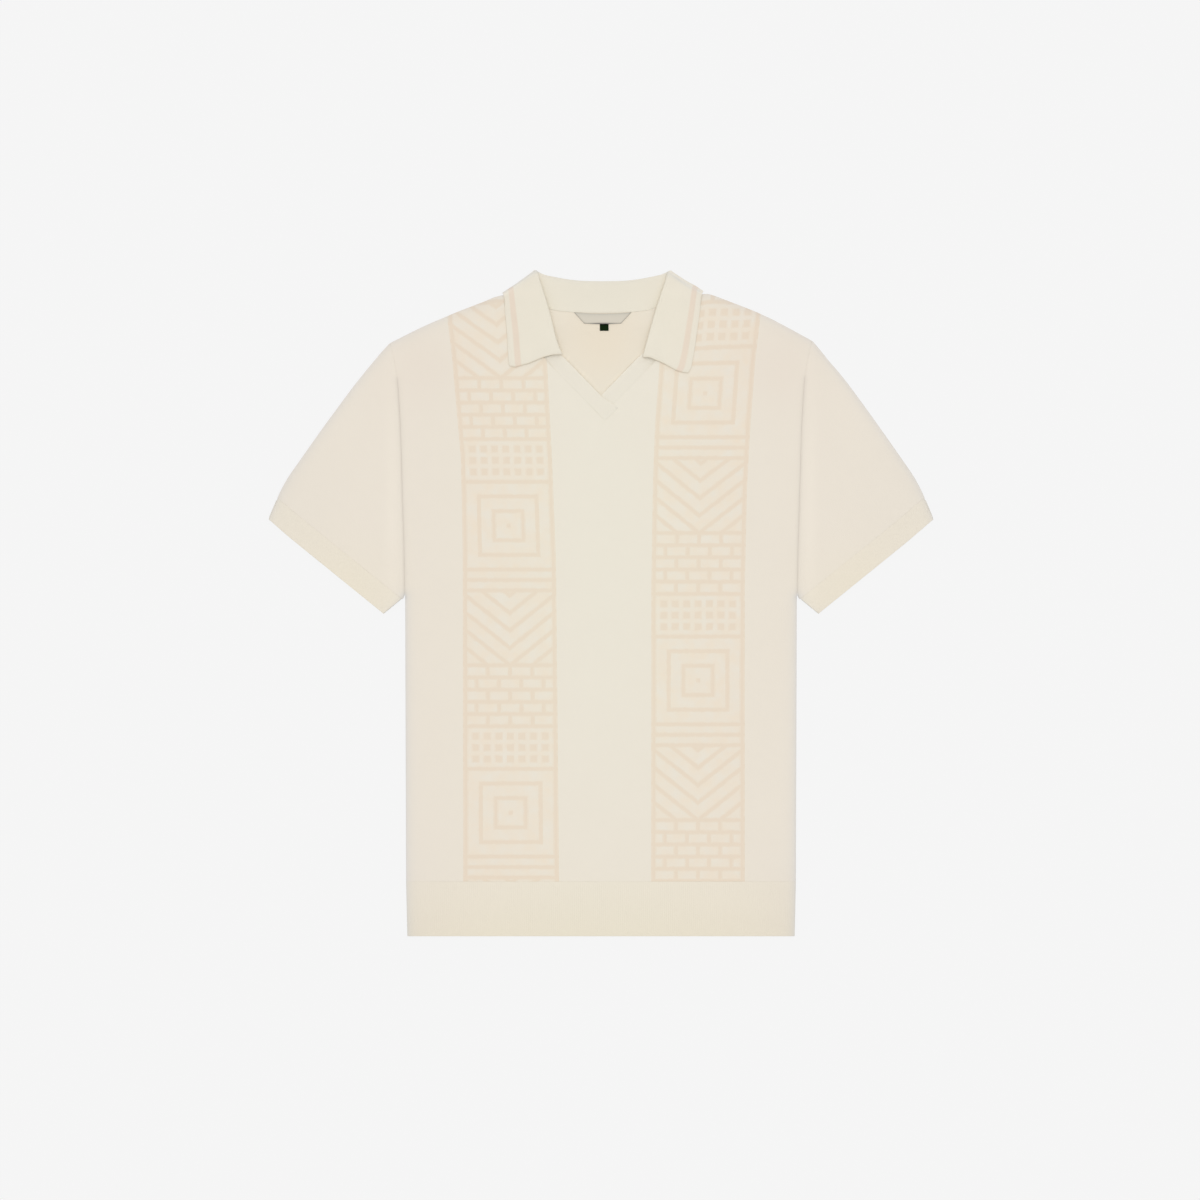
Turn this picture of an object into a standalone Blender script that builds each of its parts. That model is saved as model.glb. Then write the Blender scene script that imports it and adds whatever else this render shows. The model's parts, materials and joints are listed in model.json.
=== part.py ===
"""A fine-gauge knitted polo shirt with an open V, laid flat on its back.

The shirt lies on the plane z = 0 with its front up and its neck towards +Y, and x = 0 is the
middle of the body. The wearer's right side is at -X. All lengths are in metres.

Back and front are two sheets of knit that lie on each other. They share one height field, so that
every edge that is sewn to another meets it. The sleeves and cuffs are flattened tubes on the same
field. The collar is one sheet, which goes up from the neck seam, rolls over and falls outside the
shirt, and folds round both shoulders: above the front, and under the back.
"""

import math
from collections import namedtuple

import bmesh
import bpy
import numpy as np

Point = namedtuple("Point", "out y")
Side = namedtuple("Side", "name sign roll edge")
Finish = namedtuple("Finish", "name colour roughness")

# Cloth
WALL = 0.0015
COLLAR_WALL = 0.0016
LABEL_WALL = 0.0007
SEAM_GAP = 0.0003
EDGE_ROUND = 0.0003
EDGE_ANGLE = math.radians(60)
MERGE_DISTANCE = 0.00005

# Body
HEM_Y = -0.3824
HEM_BAND = 0.0630
HEM_HALF = 0.2229
UNDERARM = Point(0.2254, 0.0075)
SHOULDER_CORNER = Point(0.2425, 0.2995)
NECK_POINT = Point(0.0805, 0.3570)
BACK_NECK_Y = 0.3335
BAND_SEAM_Y = HEM_Y + HEM_BAND

# Sleeve
CUFF = 0.0270
SLEEVE_TOP = Point(0.3825, 0.0956)
SLEEVE_BOTTOM = Point(0.2492, -0.0108)
UNDERARM_EASE = 0.0004

# Neck
V_POINT_Y = 0.2410
V_TOP = Point(0.0467, 0.2868)
TRIM_WIDTH = 0.0170
TRIM_LAP = 0.0240
TRIM_RISE_LENGTH = 0.0070
TRIM_TUCK = 0.0015
TRIM_BEND_SHARE = 0.35
TRIM_SHARES = (0.75, 0.5, 0.25)
ROLL_RADIUS = 0.0013
ROLL_RISE = 0.00065
FALL_GAP = 0.00035
BACK_FALL_Y = 0.3274
FOLD_PAST_EDGE = 0.0017
LEAF_SWAY = 0.0017
LEAF_SWAY_SHARE = 0.25

# Air between front and back, and how the back lifts over the collar's fall
AIR_EDGE = 0.0004
AIR_MIDDLE = 0.0018
AIR_EASE = 0.0500
LIFT = 0.0020
LIFT_EASE = 0.0250
LIFT_MARGIN = 0.0060

# Label and tab
LABEL_MIDDLE_X = 0.0019
LABEL_TOP_Y = 0.3336
LABEL_DEEP = 0.0130
LABEL_TOP_WIDTH = 0.0660
LABEL_BOTTOM_WIDTH = 0.0423
TAB_MIDDLE_X = 0.0037
TAB_WIDTH = 0.0100
TAB_DEEP = 0.0080

# Curves of the outline, each for the half at +X, as distance out from the middle and y
SHOULDER = [
    NECK_POINT,
    Point(0.1120, 0.3522),
    Point(0.1250, 0.3496),
    Point(0.1390, 0.3450),
    Point(0.1950, 0.3220),
    SHOULDER_CORNER,
]
ARMHOLE = [
    UNDERARM,
    Point(0.2261, 0.0610),
    Point(0.2279, 0.1190),
    Point(0.2305, 0.2050),
    Point(0.2340, 0.2570),
    Point(0.2385, 0.2830),
    SHOULDER_CORNER,
]
SLEEVE_FOLD = [
    SHOULDER_CORNER,
    Point(0.2720, 0.2675),
    Point(0.3000, 0.2305),
    Point(0.3250, 0.1950),
    Point(0.3460, 0.1645),
    Point(0.3605, 0.1430),
    Point(0.3710, 0.1225),
    SLEEVE_TOP,
]
FRONT_NECK = [
    Point(0.0583, 0.3026),
    Point(0.0693, 0.3220),
    Point(0.0775, 0.3420),
    NECK_POINT,
]
BACK_NECK = [
    Point(0.0, BACK_NECK_Y),
    Point(0.0210, 0.3338),
    Point(0.0410, 0.3352),
    Point(0.0590, 0.3382),
    Point(0.0710, 0.3450),
    NECK_POINT,
]
BACK_ROLL = [
    Point(0.0, 0.3704),
    Point(0.0290, 0.3713),
    Point(0.0538, 0.3752),
    Point(0.0690, 0.3792),
    Point(0.0735, 0.3818),
]

# The trim's upper end, which is tucked under the collar leaf
TRIM_BEND_INNER = Point(0.0496, 0.2892)
TRIM_END_INNER = Point(0.0590, 0.3017)
TRIM_END_OUTER = Point(0.0743, 0.2932)

# The collar's front leaves: roll and outer edge, from the leaf's point up to the shoulder
COLLAR_SEAM_END = Point(0.0488, 0.2894)
COLLAR_SIDES = [
    Side(
        "right",
        -1,
        [Point(0.0467, 0.2858), Point(0.0591, 0.3361), Point(0.0735, 0.3821)],
        [
            Point(0.1013, 0.2713),
            Point(0.1049, 0.2754),
            Point(0.1075, 0.3050),
            Point(0.1101, 0.3326),
            Point(0.1114, 0.3500),
        ],
    ),
    Side(
        "left",
        1,
        [Point(0.0483, 0.2840), Point(0.0624, 0.3361), Point(0.0782, 0.3821)],
        [
            Point(0.0994, 0.2648),
            Point(0.1037, 0.2710),
            Point(0.1090, 0.3010),
            Point(0.1143, 0.3400),
            Point(0.1155, 0.3500),
        ],
    ),
]
RIGHT, LEFT = COLLAR_SIDES

# The way in which the collar's roll bulges, turned from straight out towards +Y
LEAF_ROLL_TURN = math.radians(164)
SHOULDER_FRONT_TURN = math.radians(108)
SHOULDER_BACK_TURN = math.radians(88)
BACK_MIDDLE_TURN = math.radians(90)
TURN_STARTS = 0.7

# The way in which the collar's seam and fall bulge where they fold round the shoulder
SIDE_SEAM_TURN = math.radians(18)
SIDE_FALL_TURN = math.radians(53)

# How finely the sheets are divided
OUTLINE_POINTS = 13
BODY_COLUMNS = 8
COLUMN_CROWDING = 1.5
SIDE_ROWS = 5
CHEST_ROWS = 5
NOTCH_ROWS = 3
LIFT_ROWS = 4
BENT_ROWS = 6
ARMHOLE_ROWS = 14
HEM_ROWS = 3
SLEEVE_STATIONS = 6
CUFF_STATIONS = 2
CUFF_POINTS = 8
FOLD_STEPS = 4
TRIM_STEPS = 3
LABEL_ROWS = 2
LABEL_COLUMNS = 4
SEAM_SHARES = 2
SHOULDER_STATIONS = 6
STAND_STEPS = 2
ROLL_STEPS = 4
FALL_STEPS = 4

KNIT = Finish("cream_knit", (0.823, 0.768, 0.666), 0.95)
RIB = Finish("cream_rib_knit", (0.815, 0.753, 0.642), 0.95)
COLLAR_KNIT = Finish("collar_knit", (0.823, 0.768, 0.666), 0.95)
LABEL_WEAVE = Finish("label_weave", (0.665, 0.645, 0.578), 0.70)
TAB_WEAVE = Finish("tab_weave", (0.013, 0.021, 0.009), 0.80)


# Curves and the height field


def smooth(t):
    """A step from 0 to 1 that starts and ends gently."""
    t = np.clip(t, 0.0, 1.0)
    return t * t * (3.0 - 2.0 * t)


def through(points, fractions):
    """The places at these fractions of a smooth curve through the points."""
    knots = np.array(points, float)
    steps = np.linalg.norm(np.diff(knots, axis=0), axis=1)
    at_knot = np.concatenate([[0.0], np.cumsum(steps)])
    slopes = np.gradient(knots, at_knot, axis=0)
    at = np.clip(np.atleast_1d(fractions), 0.0, 1.0) * at_knot[-1]
    i = np.clip(np.searchsorted(at_knot, at, "right") - 1, 0, len(knots) - 2)
    step = (at_knot[i + 1] - at_knot[i])[:, None]
    t = (at - at_knot[i])[:, None] / step
    rise = t * t * (3.0 - 2.0 * t)
    leave = t * (1.0 - t) ** 2 * step
    arrive = t * t * (t - 1.0) * step
    return knots[i] * (1.0 - rise) + knots[i + 1] * rise + slopes[i] * leave + slopes[i + 1] * arrive


def moved_left(line, distance):
    """The line moved sideways, to the left of the way that its points run."""
    along = np.gradient(line, axis=0)
    along /= np.linalg.norm(along, axis=1, keepdims=True)
    return line + distance * np.column_stack([-along[:, 1], along[:, 0]])


def silhouette():
    """The shirt's outer edge on one side, from the middle of the hem to the neck point."""
    evenly = np.linspace(0.0, 1.0, OUTLINE_POINTS)
    return np.vstack(
        [
            [(0.0, HEM_Y), (HEM_HALF, HEM_Y), UNDERARM, SLEEVE_BOTTOM],
            through(SLEEVE_FOLD, evenly)[::-1],
            through(SHOULDER, evenly)[::-1][1:],
        ]
    )


SILHOUETTE = silhouette()


def edge_distance(out, y):
    """How far a place on the shirt is from the shirt's outer edge."""
    start, end = SILHOUETTE[:-1], SILHOUETTE[1:]
    run = end - start
    to_place = np.array([out, y]) - start
    t = np.clip((to_place * run).sum(axis=1) / (run * run).sum(axis=1), 0.0, 1.0)
    return np.linalg.norm(to_place - t[:, None] * run, axis=1).min()


def back_fall_y(out, side):
    """The lower edge of the collar's fall, under the back."""
    fold_out, fold_y = fall_fold_centre(side)
    return BACK_FALL_Y + (fold_y - BACK_FALL_Y) * (out / fold_out) ** 2


def back_height(x, y):
    """The middle of the back's wall. It lies on the floor, but for where the collar is under it."""
    ease = (y - back_fall_y(abs(x), LEFT) + LIFT_MARGIN) / LIFT_EASE + 1.0
    return WALL / 2 + LIFT * float(smooth(ease))


def front_height(x, y):
    """The middle of the front's wall, which lies on the back with a little air between."""
    air = AIR_EDGE + (AIR_MIDDLE - AIR_EDGE) * float(smooth(edge_distance(abs(x), y) / AIR_EASE))
    return back_height(x, y) + WALL + air


# Making objects


def material_of(finish):
    """The material of this finish, made when it is first asked for."""
    material = bpy.data.materials.get(finish.name)
    if material:
        return material
    material = bpy.data.materials.new(finish.name)
    material.use_nodes = True
    shader = material.node_tree.nodes["Principled BSDF"]
    shader.inputs["Base Color"].default_value = (*finish.colour, 1.0)
    shader.inputs["Roughness"].default_value = finish.roughness
    shader.inputs["Metallic"].default_value = 0.0
    return material


def sheet(name, rows, wall, finish, ring=False, mirrored=False):
    """An object of cloth: a loft through rows of points, thickened to its wall, its edges rounded.

    A ring closes each row on itself. A mirrored sheet is half of one that crosses x = 0.
    """
    mesh = bpy.data.meshes.new(name)
    bm = bmesh.new()
    grid = [[bm.verts.new(point) for point in row] for row in rows]
    for lower, upper in zip(grid, grid[1:]):
        last = len(lower) if ring else len(lower) - 1
        for i in range(last):
            j = (i + 1) % len(lower)
            bm.faces.new((lower[i], lower[j], upper[j], upper[i]))
    bmesh.ops.recalc_face_normals(bm, faces=bm.faces)
    bm.to_mesh(mesh)
    bm.free()
    mesh.shade_smooth()
    mesh.materials.append(material_of(finish))
    piece = bpy.data.objects.new(name, mesh)
    bpy.data.collections["polo_shirt"].objects.link(piece)
    if mirrored:
        mirror = piece.modifiers.new("other half", "MIRROR")
        mirror.merge_threshold = MERGE_DISTANCE
    thicken = piece.modifiers.new("wall", "SOLIDIFY")
    thicken.thickness = wall
    thicken.offset = 0.0
    rim = piece.modifiers.new("rounded edges", "BEVEL")
    rim.width = min(EDGE_ROUND, wall / 4)
    rim.segments = 1
    rim.limit_method = "ANGLE"
    rim.angle_limit = EDGE_ANGLE
    return piece


# Body


def column_fractions():
    """Columns from the middle of the body out, closer together towards the edge."""
    return 1.0 - (1.0 - np.linspace(0.0, 1.0, BODY_COLUMNS + 1)) ** COLUMN_CROWDING


def side_x(y):
    """The body's side seam, which runs in a little towards the hem."""
    return HEM_HALF + (UNDERARM.out - HEM_HALF) * (y - HEM_Y) / (UNDERARM.y - HEM_Y)


def chain(*stretches):
    """One boundary from stretches of (points, number of rows)."""
    parts = [through(points, np.linspace(0.0, 1.0, rows + 1))[1:] for points, rows in stretches]
    return np.vstack([np.array(stretches[0][0][0], float)[None, :], *parts])


def half_panel(inner, outer, height):
    """Rows from the inner to the outer boundary, of which the last is bent along the shoulder."""
    columns = column_fractions()
    shoulder = through(SHOULDER, columns)
    chord = through([SHOULDER[0], SHOULDER[-1]], columns)
    last = len(inner) - 1
    rows = []
    for r, (start, end) in enumerate(zip(inner, outer)):
        bend = float(smooth(1.0 - (last - r) / BENT_ROWS))
        flat = start + columns[:, None] * (end - start) + bend * (shoulder - chord)
        rows.append([(x, y, height(x, y)) for x, y in flat])
    return rows


def armhole():
    """The points of the armhole seam, which the body and the sleeve share."""
    return through(ARMHOLE, np.linspace(0.0, 1.0, ARMHOLE_ROWS + 1))


def outer_boundary():
    """The side seam and the armhole."""
    low = BAND_SEAM_Y + SEAM_GAP / 2
    half_gap = np.array([SEAM_GAP / 2, 0.0])
    seam = chain(([(side_x(low), low), UNDERARM], SIDE_ROWS))
    return np.vstack([seam, armhole()[1:] - half_gap])


def v_run():
    """The way in which the V's edge runs up from its point, and its length."""
    run = np.array(V_TOP) - np.array([0.0, V_POINT_Y])
    length = np.linalg.norm(run)
    return run / length, length


def trim_line(s, across):
    """A place on the V's trim: s up the edge from the V's point, across from the inner edge."""
    run = v_run()[0]
    away = np.array([run[1], -run[0]])
    return np.array([0.0, V_POINT_Y]) + s * run + across * away


def notch_point(across):
    """Where two lines this far outside the V's edges meet in the middle."""
    return np.array([0.0, V_POINT_Y - across / v_run()[0][0]])


def front_panel():
    """The front, with a notch for the V's trims and the neck seam above it."""
    notch = notch_point(TRIM_WIDTH + SEAM_GAP)
    knee = trim_line(v_run()[1], TRIM_WIDTH + SEAM_GAP)
    trim_end = np.array(TRIM_END_OUTER) + np.array([SEAM_GAP, 0.0])
    above_trim = np.array(TRIM_END_OUTER) + np.array([0.0, SEAM_GAP])
    neck = [(p.out + SEAM_GAP / 2, p.y) for p in FRONT_NECK]
    low = BAND_SEAM_Y + SEAM_GAP / 2
    inner = chain(
        ([(0.0, low), (0.0, UNDERARM.y)], SIDE_ROWS),
        ([(0.0, UNDERARM.y), notch], CHEST_ROWS),
        ([notch, knee], NOTCH_ROWS),
        ([knee, trim_end], 1),
        ([trim_end, above_trim], 1),
        ([above_trim, neck[0]], 1),
    )
    inner = np.vstack([inner, neck[1:]])
    rows = half_panel(inner, outer_boundary(), front_height)
    return sheet("front_panel", rows, WALL, KNIT, mirrored=True)


def back_panel():
    """The back, with the back neck seam at its top."""
    low = BAND_SEAM_Y + SEAM_GAP / 2
    neck = [(p.out, p.y - SEAM_GAP / 2) for p in BACK_NECK]
    lift_start = (0.0, BACK_FALL_Y - LIFT_MARGIN - LIFT_EASE)
    inner = chain(
        ([(0.0, low), (0.0, UNDERARM.y)], SIDE_ROWS),
        ([(0.0, UNDERARM.y), lift_start], CHEST_ROWS),
        ([lift_start, neck[0]], LIFT_ROWS),
    )
    inner = np.vstack([inner, neck[1:]])
    rows = half_panel(inner, outer_boundary(), back_height)
    return sheet("back_panel", rows, WALL, KNIT, mirrored=True)


def hem_band(name, height):
    """Half of the hem band, from side seam to side seam."""
    columns = column_fractions()
    rows = []
    for y in np.linspace(HEM_Y, BAND_SEAM_Y - SEAM_GAP / 2, HEM_ROWS + 1):
        rows.append([(x, y, height(x, y)) for x in columns * side_x(y)])
    return sheet(name, rows, WALL, RIB, mirrored=True)


# Sleeves


def flat_tube(name, sign, start, end, lower, upper, stations, finish):
    """A tube pressed flat, between the lines start and end, folded along the lines lower and upper."""
    turns = np.linspace(0.0, math.pi, FOLD_STEPS + 1)[1:-1]
    inset = (WALL + AIR_EDGE) / 2 + WALL / 2
    along = np.linspace(0.0, 1.0, stations + 1)
    first = cut_back(start, through(lower, along), through(upper, along), inset)
    last = cut_back(end, through(lower, along)[::-1], through(upper, along)[::-1], inset)
    shares = np.linspace(0.0, 1.0, len(first))[:, None]
    bottom = fitted(moved_left(through(lower, along), inset), first[0], last[0])
    top = fitted(moved_left(through(upper, along), -inset), first[-1], last[-1])
    rows = []
    for k, a in enumerate(along):
        section = (1 - a) * first + a * last
        shift = (1 - shares) * (bottom[k] - section[0]) + shares * (top[k] - section[-1])
        section = section + shift
        under = (1 - a * a) * unit(first[0] - first[1]) + a * a * unit(last[0] - last[1])
        over = across_run(top, k) if 0 < k < stations else section[-1] - section[-2]
        outward = [unit(under), unit(over)]
        heights = [(front_height(*p), back_height(*p)) for p in section]
        ring = [(*p, h[0]) for p, h in zip(section, heights)]
        ring += [on_fold(section[-1], heights[-1], outward[1], turn) for turn in turns]
        ring += [(*p, h[1]) for p, h in reversed(list(zip(section, heights)))]
        ring += [on_fold(section[0], heights[0], outward[0], turn) for turn in turns[::-1]]
        rows.append([(sign * x, y, z) for x, y, z in ring])
    return sheet(name, rows, WALL, finish, ring=True)


def unit(vector):
    """The vector with its length brought to 1."""
    return vector / np.linalg.norm(vector)


def across_run(line, k):
    """The way to the left of a line at its point k."""
    run = np.gradient(line, axis=0)[k]
    return unit(np.array([-run[1], run[0]]))


def cut_back(line, lower, upper, inset):
    """A tube's end line, its two end points drawn in along it until they clear both folds."""
    line = np.array(line, float)
    for end, inward, fold in ((0, 1, lower), (-1, -2, upper)):
        run = unit(line[inward] - line[end])
        beside = unit(fold[1] - fold[0])
        line[end] += inset / abs(run[0] * beside[1] - run[1] * beside[0]) * run
    return line


def fitted(line, start, end):
    """The line with its two ends moved to these places, and the rest carried along in proportion."""
    share = np.linspace(0.0, 1.0, len(line))[:, None]
    return line + (1 - share) * (start - line[0]) + share * (end - line[-1])


def on_fold(place, heights, outward, turn):
    """A point of the half circle that joins the upper sheet to the lower one at a fold."""
    high, low = heights
    radius = (high - low) / 2
    x, y = place + radius * math.sin(turn) * outward
    return np.array([x, y, (high + low) / 2 + radius * math.cos(turn)])


def point_back(line_start, line_end, distance):
    """The place this far before the end of a straight stretch."""
    start, end = np.array(line_start), np.array(line_end)
    return end - distance * unit(end - start)


def sleeve_and_cuff(side_name, sign):
    """One sleeve, folded along its upper edge, and the cuff on its end."""
    seam_top = point_back(SLEEVE_FOLD[-2], SLEEVE_TOP, CUFF)
    seam_bottom = point_back(UNDERARM, SLEEVE_BOTTOM, CUFF)
    hem_run = np.array(SLEEVE_BOTTOM) - np.array(seam_bottom)
    half_gap = SEAM_GAP / 2 * unit(hem_run)
    body_edge = armhole() + np.array([SEAM_GAP / 2, 0.0])
    body_edge[0, 0] += UNDERARM_EASE
    sleeve_end = [seam_bottom - half_gap, seam_top - half_gap]
    cuff_start = [seam_bottom + half_gap, seam_top + half_gap]
    flat_tube(
        f"sleeve_{side_name}",
        sign,
        body_edge,
        through(sleeve_end, np.linspace(0.0, 1.0, len(body_edge))),
        [body_edge[0], sleeve_end[0]],
        [body_edge[-1], *SLEEVE_FOLD[1:-1], sleeve_end[1]],
        SLEEVE_STATIONS,
        KNIT,
    )
    across = np.linspace(0.0, 1.0, CUFF_POINTS + 1)
    flat_tube(
        f"cuff_{side_name}",
        sign,
        through(cuff_start, across),
        through([SLEEVE_BOTTOM, SLEEVE_TOP], across),
        [cuff_start[0], SLEEVE_BOTTOM],
        [cuff_start[1], SLEEVE_TOP],
        CUFF_STATIONS,
        RIB,
    )


# Neck


def neck_trim(name, sign, sections):
    """A strip along the V's edge, from sections of (inner edge, outer edge, rise above the front)."""
    rows = []
    for inner, outer, rise in sections:
        places = through([inner, outer], np.linspace(0.0, 1.0, TRIM_STEPS + 1))
        rows.append([(sign * x, y, front_height(x, y) + rise) for x, y in places])
    return sheet(name, rows, WALL, RIB)


def trim_sections(laps):
    """Sections of a trim, from under the collar leaf down past the V's point.

    The trim that laps rises over the other one there; the other ends at the edge of the notch.
    """
    run, v_length = v_run()
    knee = trim_line(v_length, TRIM_WIDTH)
    bend_outer = knee + TRIM_BEND_SHARE * (np.array(TRIM_END_OUTER) - knee)
    sections = [
        (TRIM_END_INNER, TRIM_END_OUTER, -TRIM_TUCK / 2),
        (TRIM_BEND_INNER, bend_outer, -TRIM_TUCK),
        (V_TOP, knee, -TRIM_TUCK),
    ]
    for share in TRIM_SHARES:
        s = share * v_length
        sections.append((trim_line(s, 0.0), trim_line(s, TRIM_WIDTH), 0.0))
    if not laps:
        end = -TRIM_WIDTH / (2 * run[0] * run[1])
        sections.append((trim_line(0.0, 0.0), trim_line(0.0, TRIM_WIDTH), 0.0))
        sections.append((trim_line(end, 0.0), notch_point(TRIM_WIDTH), 0.0))
        return sections
    over = WALL + SEAM_GAP
    for s, rise in ((TRIM_RISE_LENGTH, 0.0), (SEAM_GAP, over), (-TRIM_LAP / 2, over), (-TRIM_LAP, over)):
        sections.append((trim_line(s, 0.0), trim_line(s, TRIM_WIDTH), rise))
    return sections


def neck_trims():
    """The right trim laps over the left one and is stitched down past the V's point."""
    neck_trim("neck_trim_right", -1, trim_sections(True))
    neck_trim("neck_trim_left", 1, trim_sections(False))


def turned(angle):
    """A level direction: straight out at 0, and towards +Y at a right angle."""
    return np.array([math.cos(angle), math.sin(angle)])


def divided(points, shares):
    """The points of a line with straight stretches, each stretch cut into this many shares."""
    points = np.array(points, float)
    line = [points[0]]
    for start, end in zip(points, points[1:]):
        line += [start + (end - start) * k / shares for k in range(1, shares + 1)]
    return np.array(line)


def fall_fold_centre(side):
    """Where the fall turns from the front to the back, above the shoulder: the centre of its fold."""
    return np.array(side.edge[-1]) + np.array([0.0, FOLD_PAST_EDGE])


def fall_height(x, y):
    """The middle of the collar's wall where it lies on the front."""
    return front_height(x, y) + WALL / 2 + FALL_GAP + COLLAR_WALL / 2


def collar_section(seam, roll, edge, roll_turn, level):
    """One section of the collar, from the neck seam over the roll to the fall's edge.

    seam, roll and edge are places with a height. roll is the centre of the roll's half circle,
    roll_turn the way in which it bulges, and level the way from the stand to the fall.
    """
    bulge = np.array([*turned(roll_turn), 0.0])
    stand_top = roll - ROLL_RADIUS * level
    fall_top = roll + ROLL_RADIUS * level
    section = [seam + t * (stand_top - seam) for t in np.linspace(0.0, 1.0, STAND_STEPS + 1)[:-1]]
    for turn in np.linspace(0.0, math.pi, ROLL_STEPS + 1):
        section.append(roll + ROLL_RADIUS * (-math.cos(turn) * level + math.sin(turn) * bulge))
    section += [fall_top + t * (edge - fall_top) for t in np.linspace(0.0, 1.0, FALL_STEPS + 1)[1:]]
    return section


def collar_half(side):
    """The sections of one half of the collar, from the leaf's end round the shoulder to the back."""
    up = np.array([0.0, 0.0, 1.0])
    roll_reach = ROLL_RADIUS + COLLAR_WALL / 2
    sections = []
    front_seam = divided([COLLAR_SEAM_END, *FRONT_NECK], SEAM_SHARES)
    for s, f in zip(front_seam, np.linspace(0.0, 1.0, len(front_seam))):
        s = s - np.array([SEAM_GAP, 0.0])
        e = through(side.edge, f)[0]
        share = float(smooth((f - TURN_STARTS) / (1.0 - TURN_STARTS)))
        turn = LEAF_ROLL_TURN + share * (SHOULDER_FRONT_TURN - LEAF_ROLL_TURN)
        r = through(side.roll, f)[0] - roll_reach * turned(turn)
        seam = np.array([*s, front_height(*s)])
        roll = np.array([*r, front_height(*s) + ROLL_RISE + ROLL_RADIUS])
        edge = np.array([*e, fall_height(*e)])
        section = collar_section(seam, roll, edge, turn, up)
        for place in section[-FALL_STEPS:]:
            place[2] = max(place[2], fall_height(place[0], place[1]))
        sway = LEAF_SWAY * float(smooth(1.0 - f / LEAF_SWAY_SHARE))
        for k in range(FALL_STEPS + 1):
            section[-1 - k][1] += sway * math.sin(-2 * math.pi * k / FALL_STEPS)
        sections.append(section)
    side_centres = (sections[-1][0], sections[-1][STAND_STEPS + ROLL_STEPS // 2], sections[-1][-1])
    sections += shoulder_sections(side, side_centres)
    sections += back_sections(side)
    return [[(side.sign * x, y, z) for x, y, z in section] for section in sections]


def shoulder_sections(side, front):
    """The sections in which the collar turns round the shoulder, from the front to the back."""
    seam_xy = front[0][:2] + np.array([0.0, SEAM_GAP])
    edge_xy = fall_fold_centre(side)
    roll_reach = ROLL_RADIUS + COLLAR_WALL / 2
    roll_xy = through(side.roll, 1.0)[0] - roll_reach * turned(SHOULDER_FRONT_TURN)
    seam_heights = (front_height(*seam_xy), back_height(*NECK_POINT))
    roll_lift = ROLL_RISE + ROLL_RADIUS
    roll_heights = (seam_heights[0] + roll_lift, seam_heights[1] + ROLL_RISE - ROLL_RADIUS)
    edge_heights = (fall_height(*edge_xy), COLLAR_WALL / 2)
    sections = []
    for k in range(1, SHOULDER_STATIONS):
        turn = math.pi * k / SHOULDER_STATIONS
        roll_turn = SHOULDER_FRONT_TURN + (SHOULDER_BACK_TURN - SHOULDER_FRONT_TURN) * k / SHOULDER_STATIONS
        out_roll = turned(roll_turn - math.pi / 2)
        seam = on_fold(seam_xy, seam_heights, turned(SIDE_SEAM_TURN), turn)
        roll = on_fold(roll_xy, roll_heights, out_roll, turn)
        edge = on_fold(edge_xy, edge_heights, turned(SIDE_FALL_TURN), turn)
        level = np.array([*(math.sin(turn) * out_roll), math.cos(turn)])
        sections.append(collar_section(seam, roll, edge, roll_turn, level))
    return sections


def back_sections(side):
    """The sections across the back, from the shoulder to the middle."""
    down = np.array([0.0, 0.0, -1.0])
    shift = (LEFT.roll[-1].out - RIGHT.roll[-1].out) / 2 * side.sign
    side_out = side.roll[-1].out
    fall_side = fall_fold_centre(side)
    sections = []
    back_seam = np.array(BACK_NECK, float)[::-1]
    for s, f in zip(back_seam, np.linspace(1.0, 0.0, len(back_seam))):
        s = s + np.array([0.0, SEAM_GAP / 2])
        turn = BACK_MIDDLE_TURN + (SHOULDER_BACK_TURN - BACK_MIDDLE_TURN) * f
        r = through(BACK_ROLL, f)[0]
        r[0] = f * side_out
        r = r - (ROLL_RADIUS + COLLAR_WALL / 2) * turned(turn)
        e_out = f * fall_side[0]
        e = np.array([e_out, back_fall_y(e_out, side)])
        seam_z = back_height(*s)
        seam = np.array([*s, seam_z])
        roll = np.array([r[0] + (1 - f) * shift, r[1], seam_z + ROLL_RISE - ROLL_RADIUS])
        edge = np.array([*e, COLLAR_WALL / 2])
        sections.append(collar_section(seam, roll, edge, turn, down))
    return sections


def collar():
    """The whole collar: the right half, then the left half back from the middle to its leaf."""
    right, left = (collar_half(side) for side in COLLAR_SIDES)
    return sheet("collar", right + left[-2::-1], COLLAR_WALL, COLLAR_KNIT)


def plate_on_back(name, middle, top_y, deep, top_width, bottom_width, finish):
    """A flat piece that lies on the inner face of the back."""
    rows = []
    for t in np.linspace(0.0, 1.0, LABEL_ROWS + 1):
        y = top_y - t * deep
        half = (top_width + t * (bottom_width - top_width)) / 2
        row = []
        for x in np.linspace(middle - half, middle + half, LABEL_COLUMNS + 1):
            row.append((x, y, back_height(x, y) + WALL / 2 + SEAM_GAP + LABEL_WALL / 2))
        rows.append(row)
    return sheet(name, rows, LABEL_WALL, finish)


def labels():
    """The neck label, and the size tab that hangs below it."""
    plate_on_back(
        "neck_label",
        LABEL_MIDDLE_X,
        LABEL_TOP_Y,
        LABEL_DEEP,
        LABEL_TOP_WIDTH,
        LABEL_BOTTOM_WIDTH,
        LABEL_WEAVE,
    )
    tab_top = LABEL_TOP_Y - LABEL_DEEP - SEAM_GAP
    plate_on_back("size_tab", TAB_MIDDLE_X, tab_top, TAB_DEEP, TAB_WIDTH, TAB_WIDTH, TAB_WEAVE)


def clear_scene():
    """Take away what the empty file starts with."""
    for old in list(bpy.data.objects):
        bpy.data.objects.remove(old, do_unlink=True)


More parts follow.
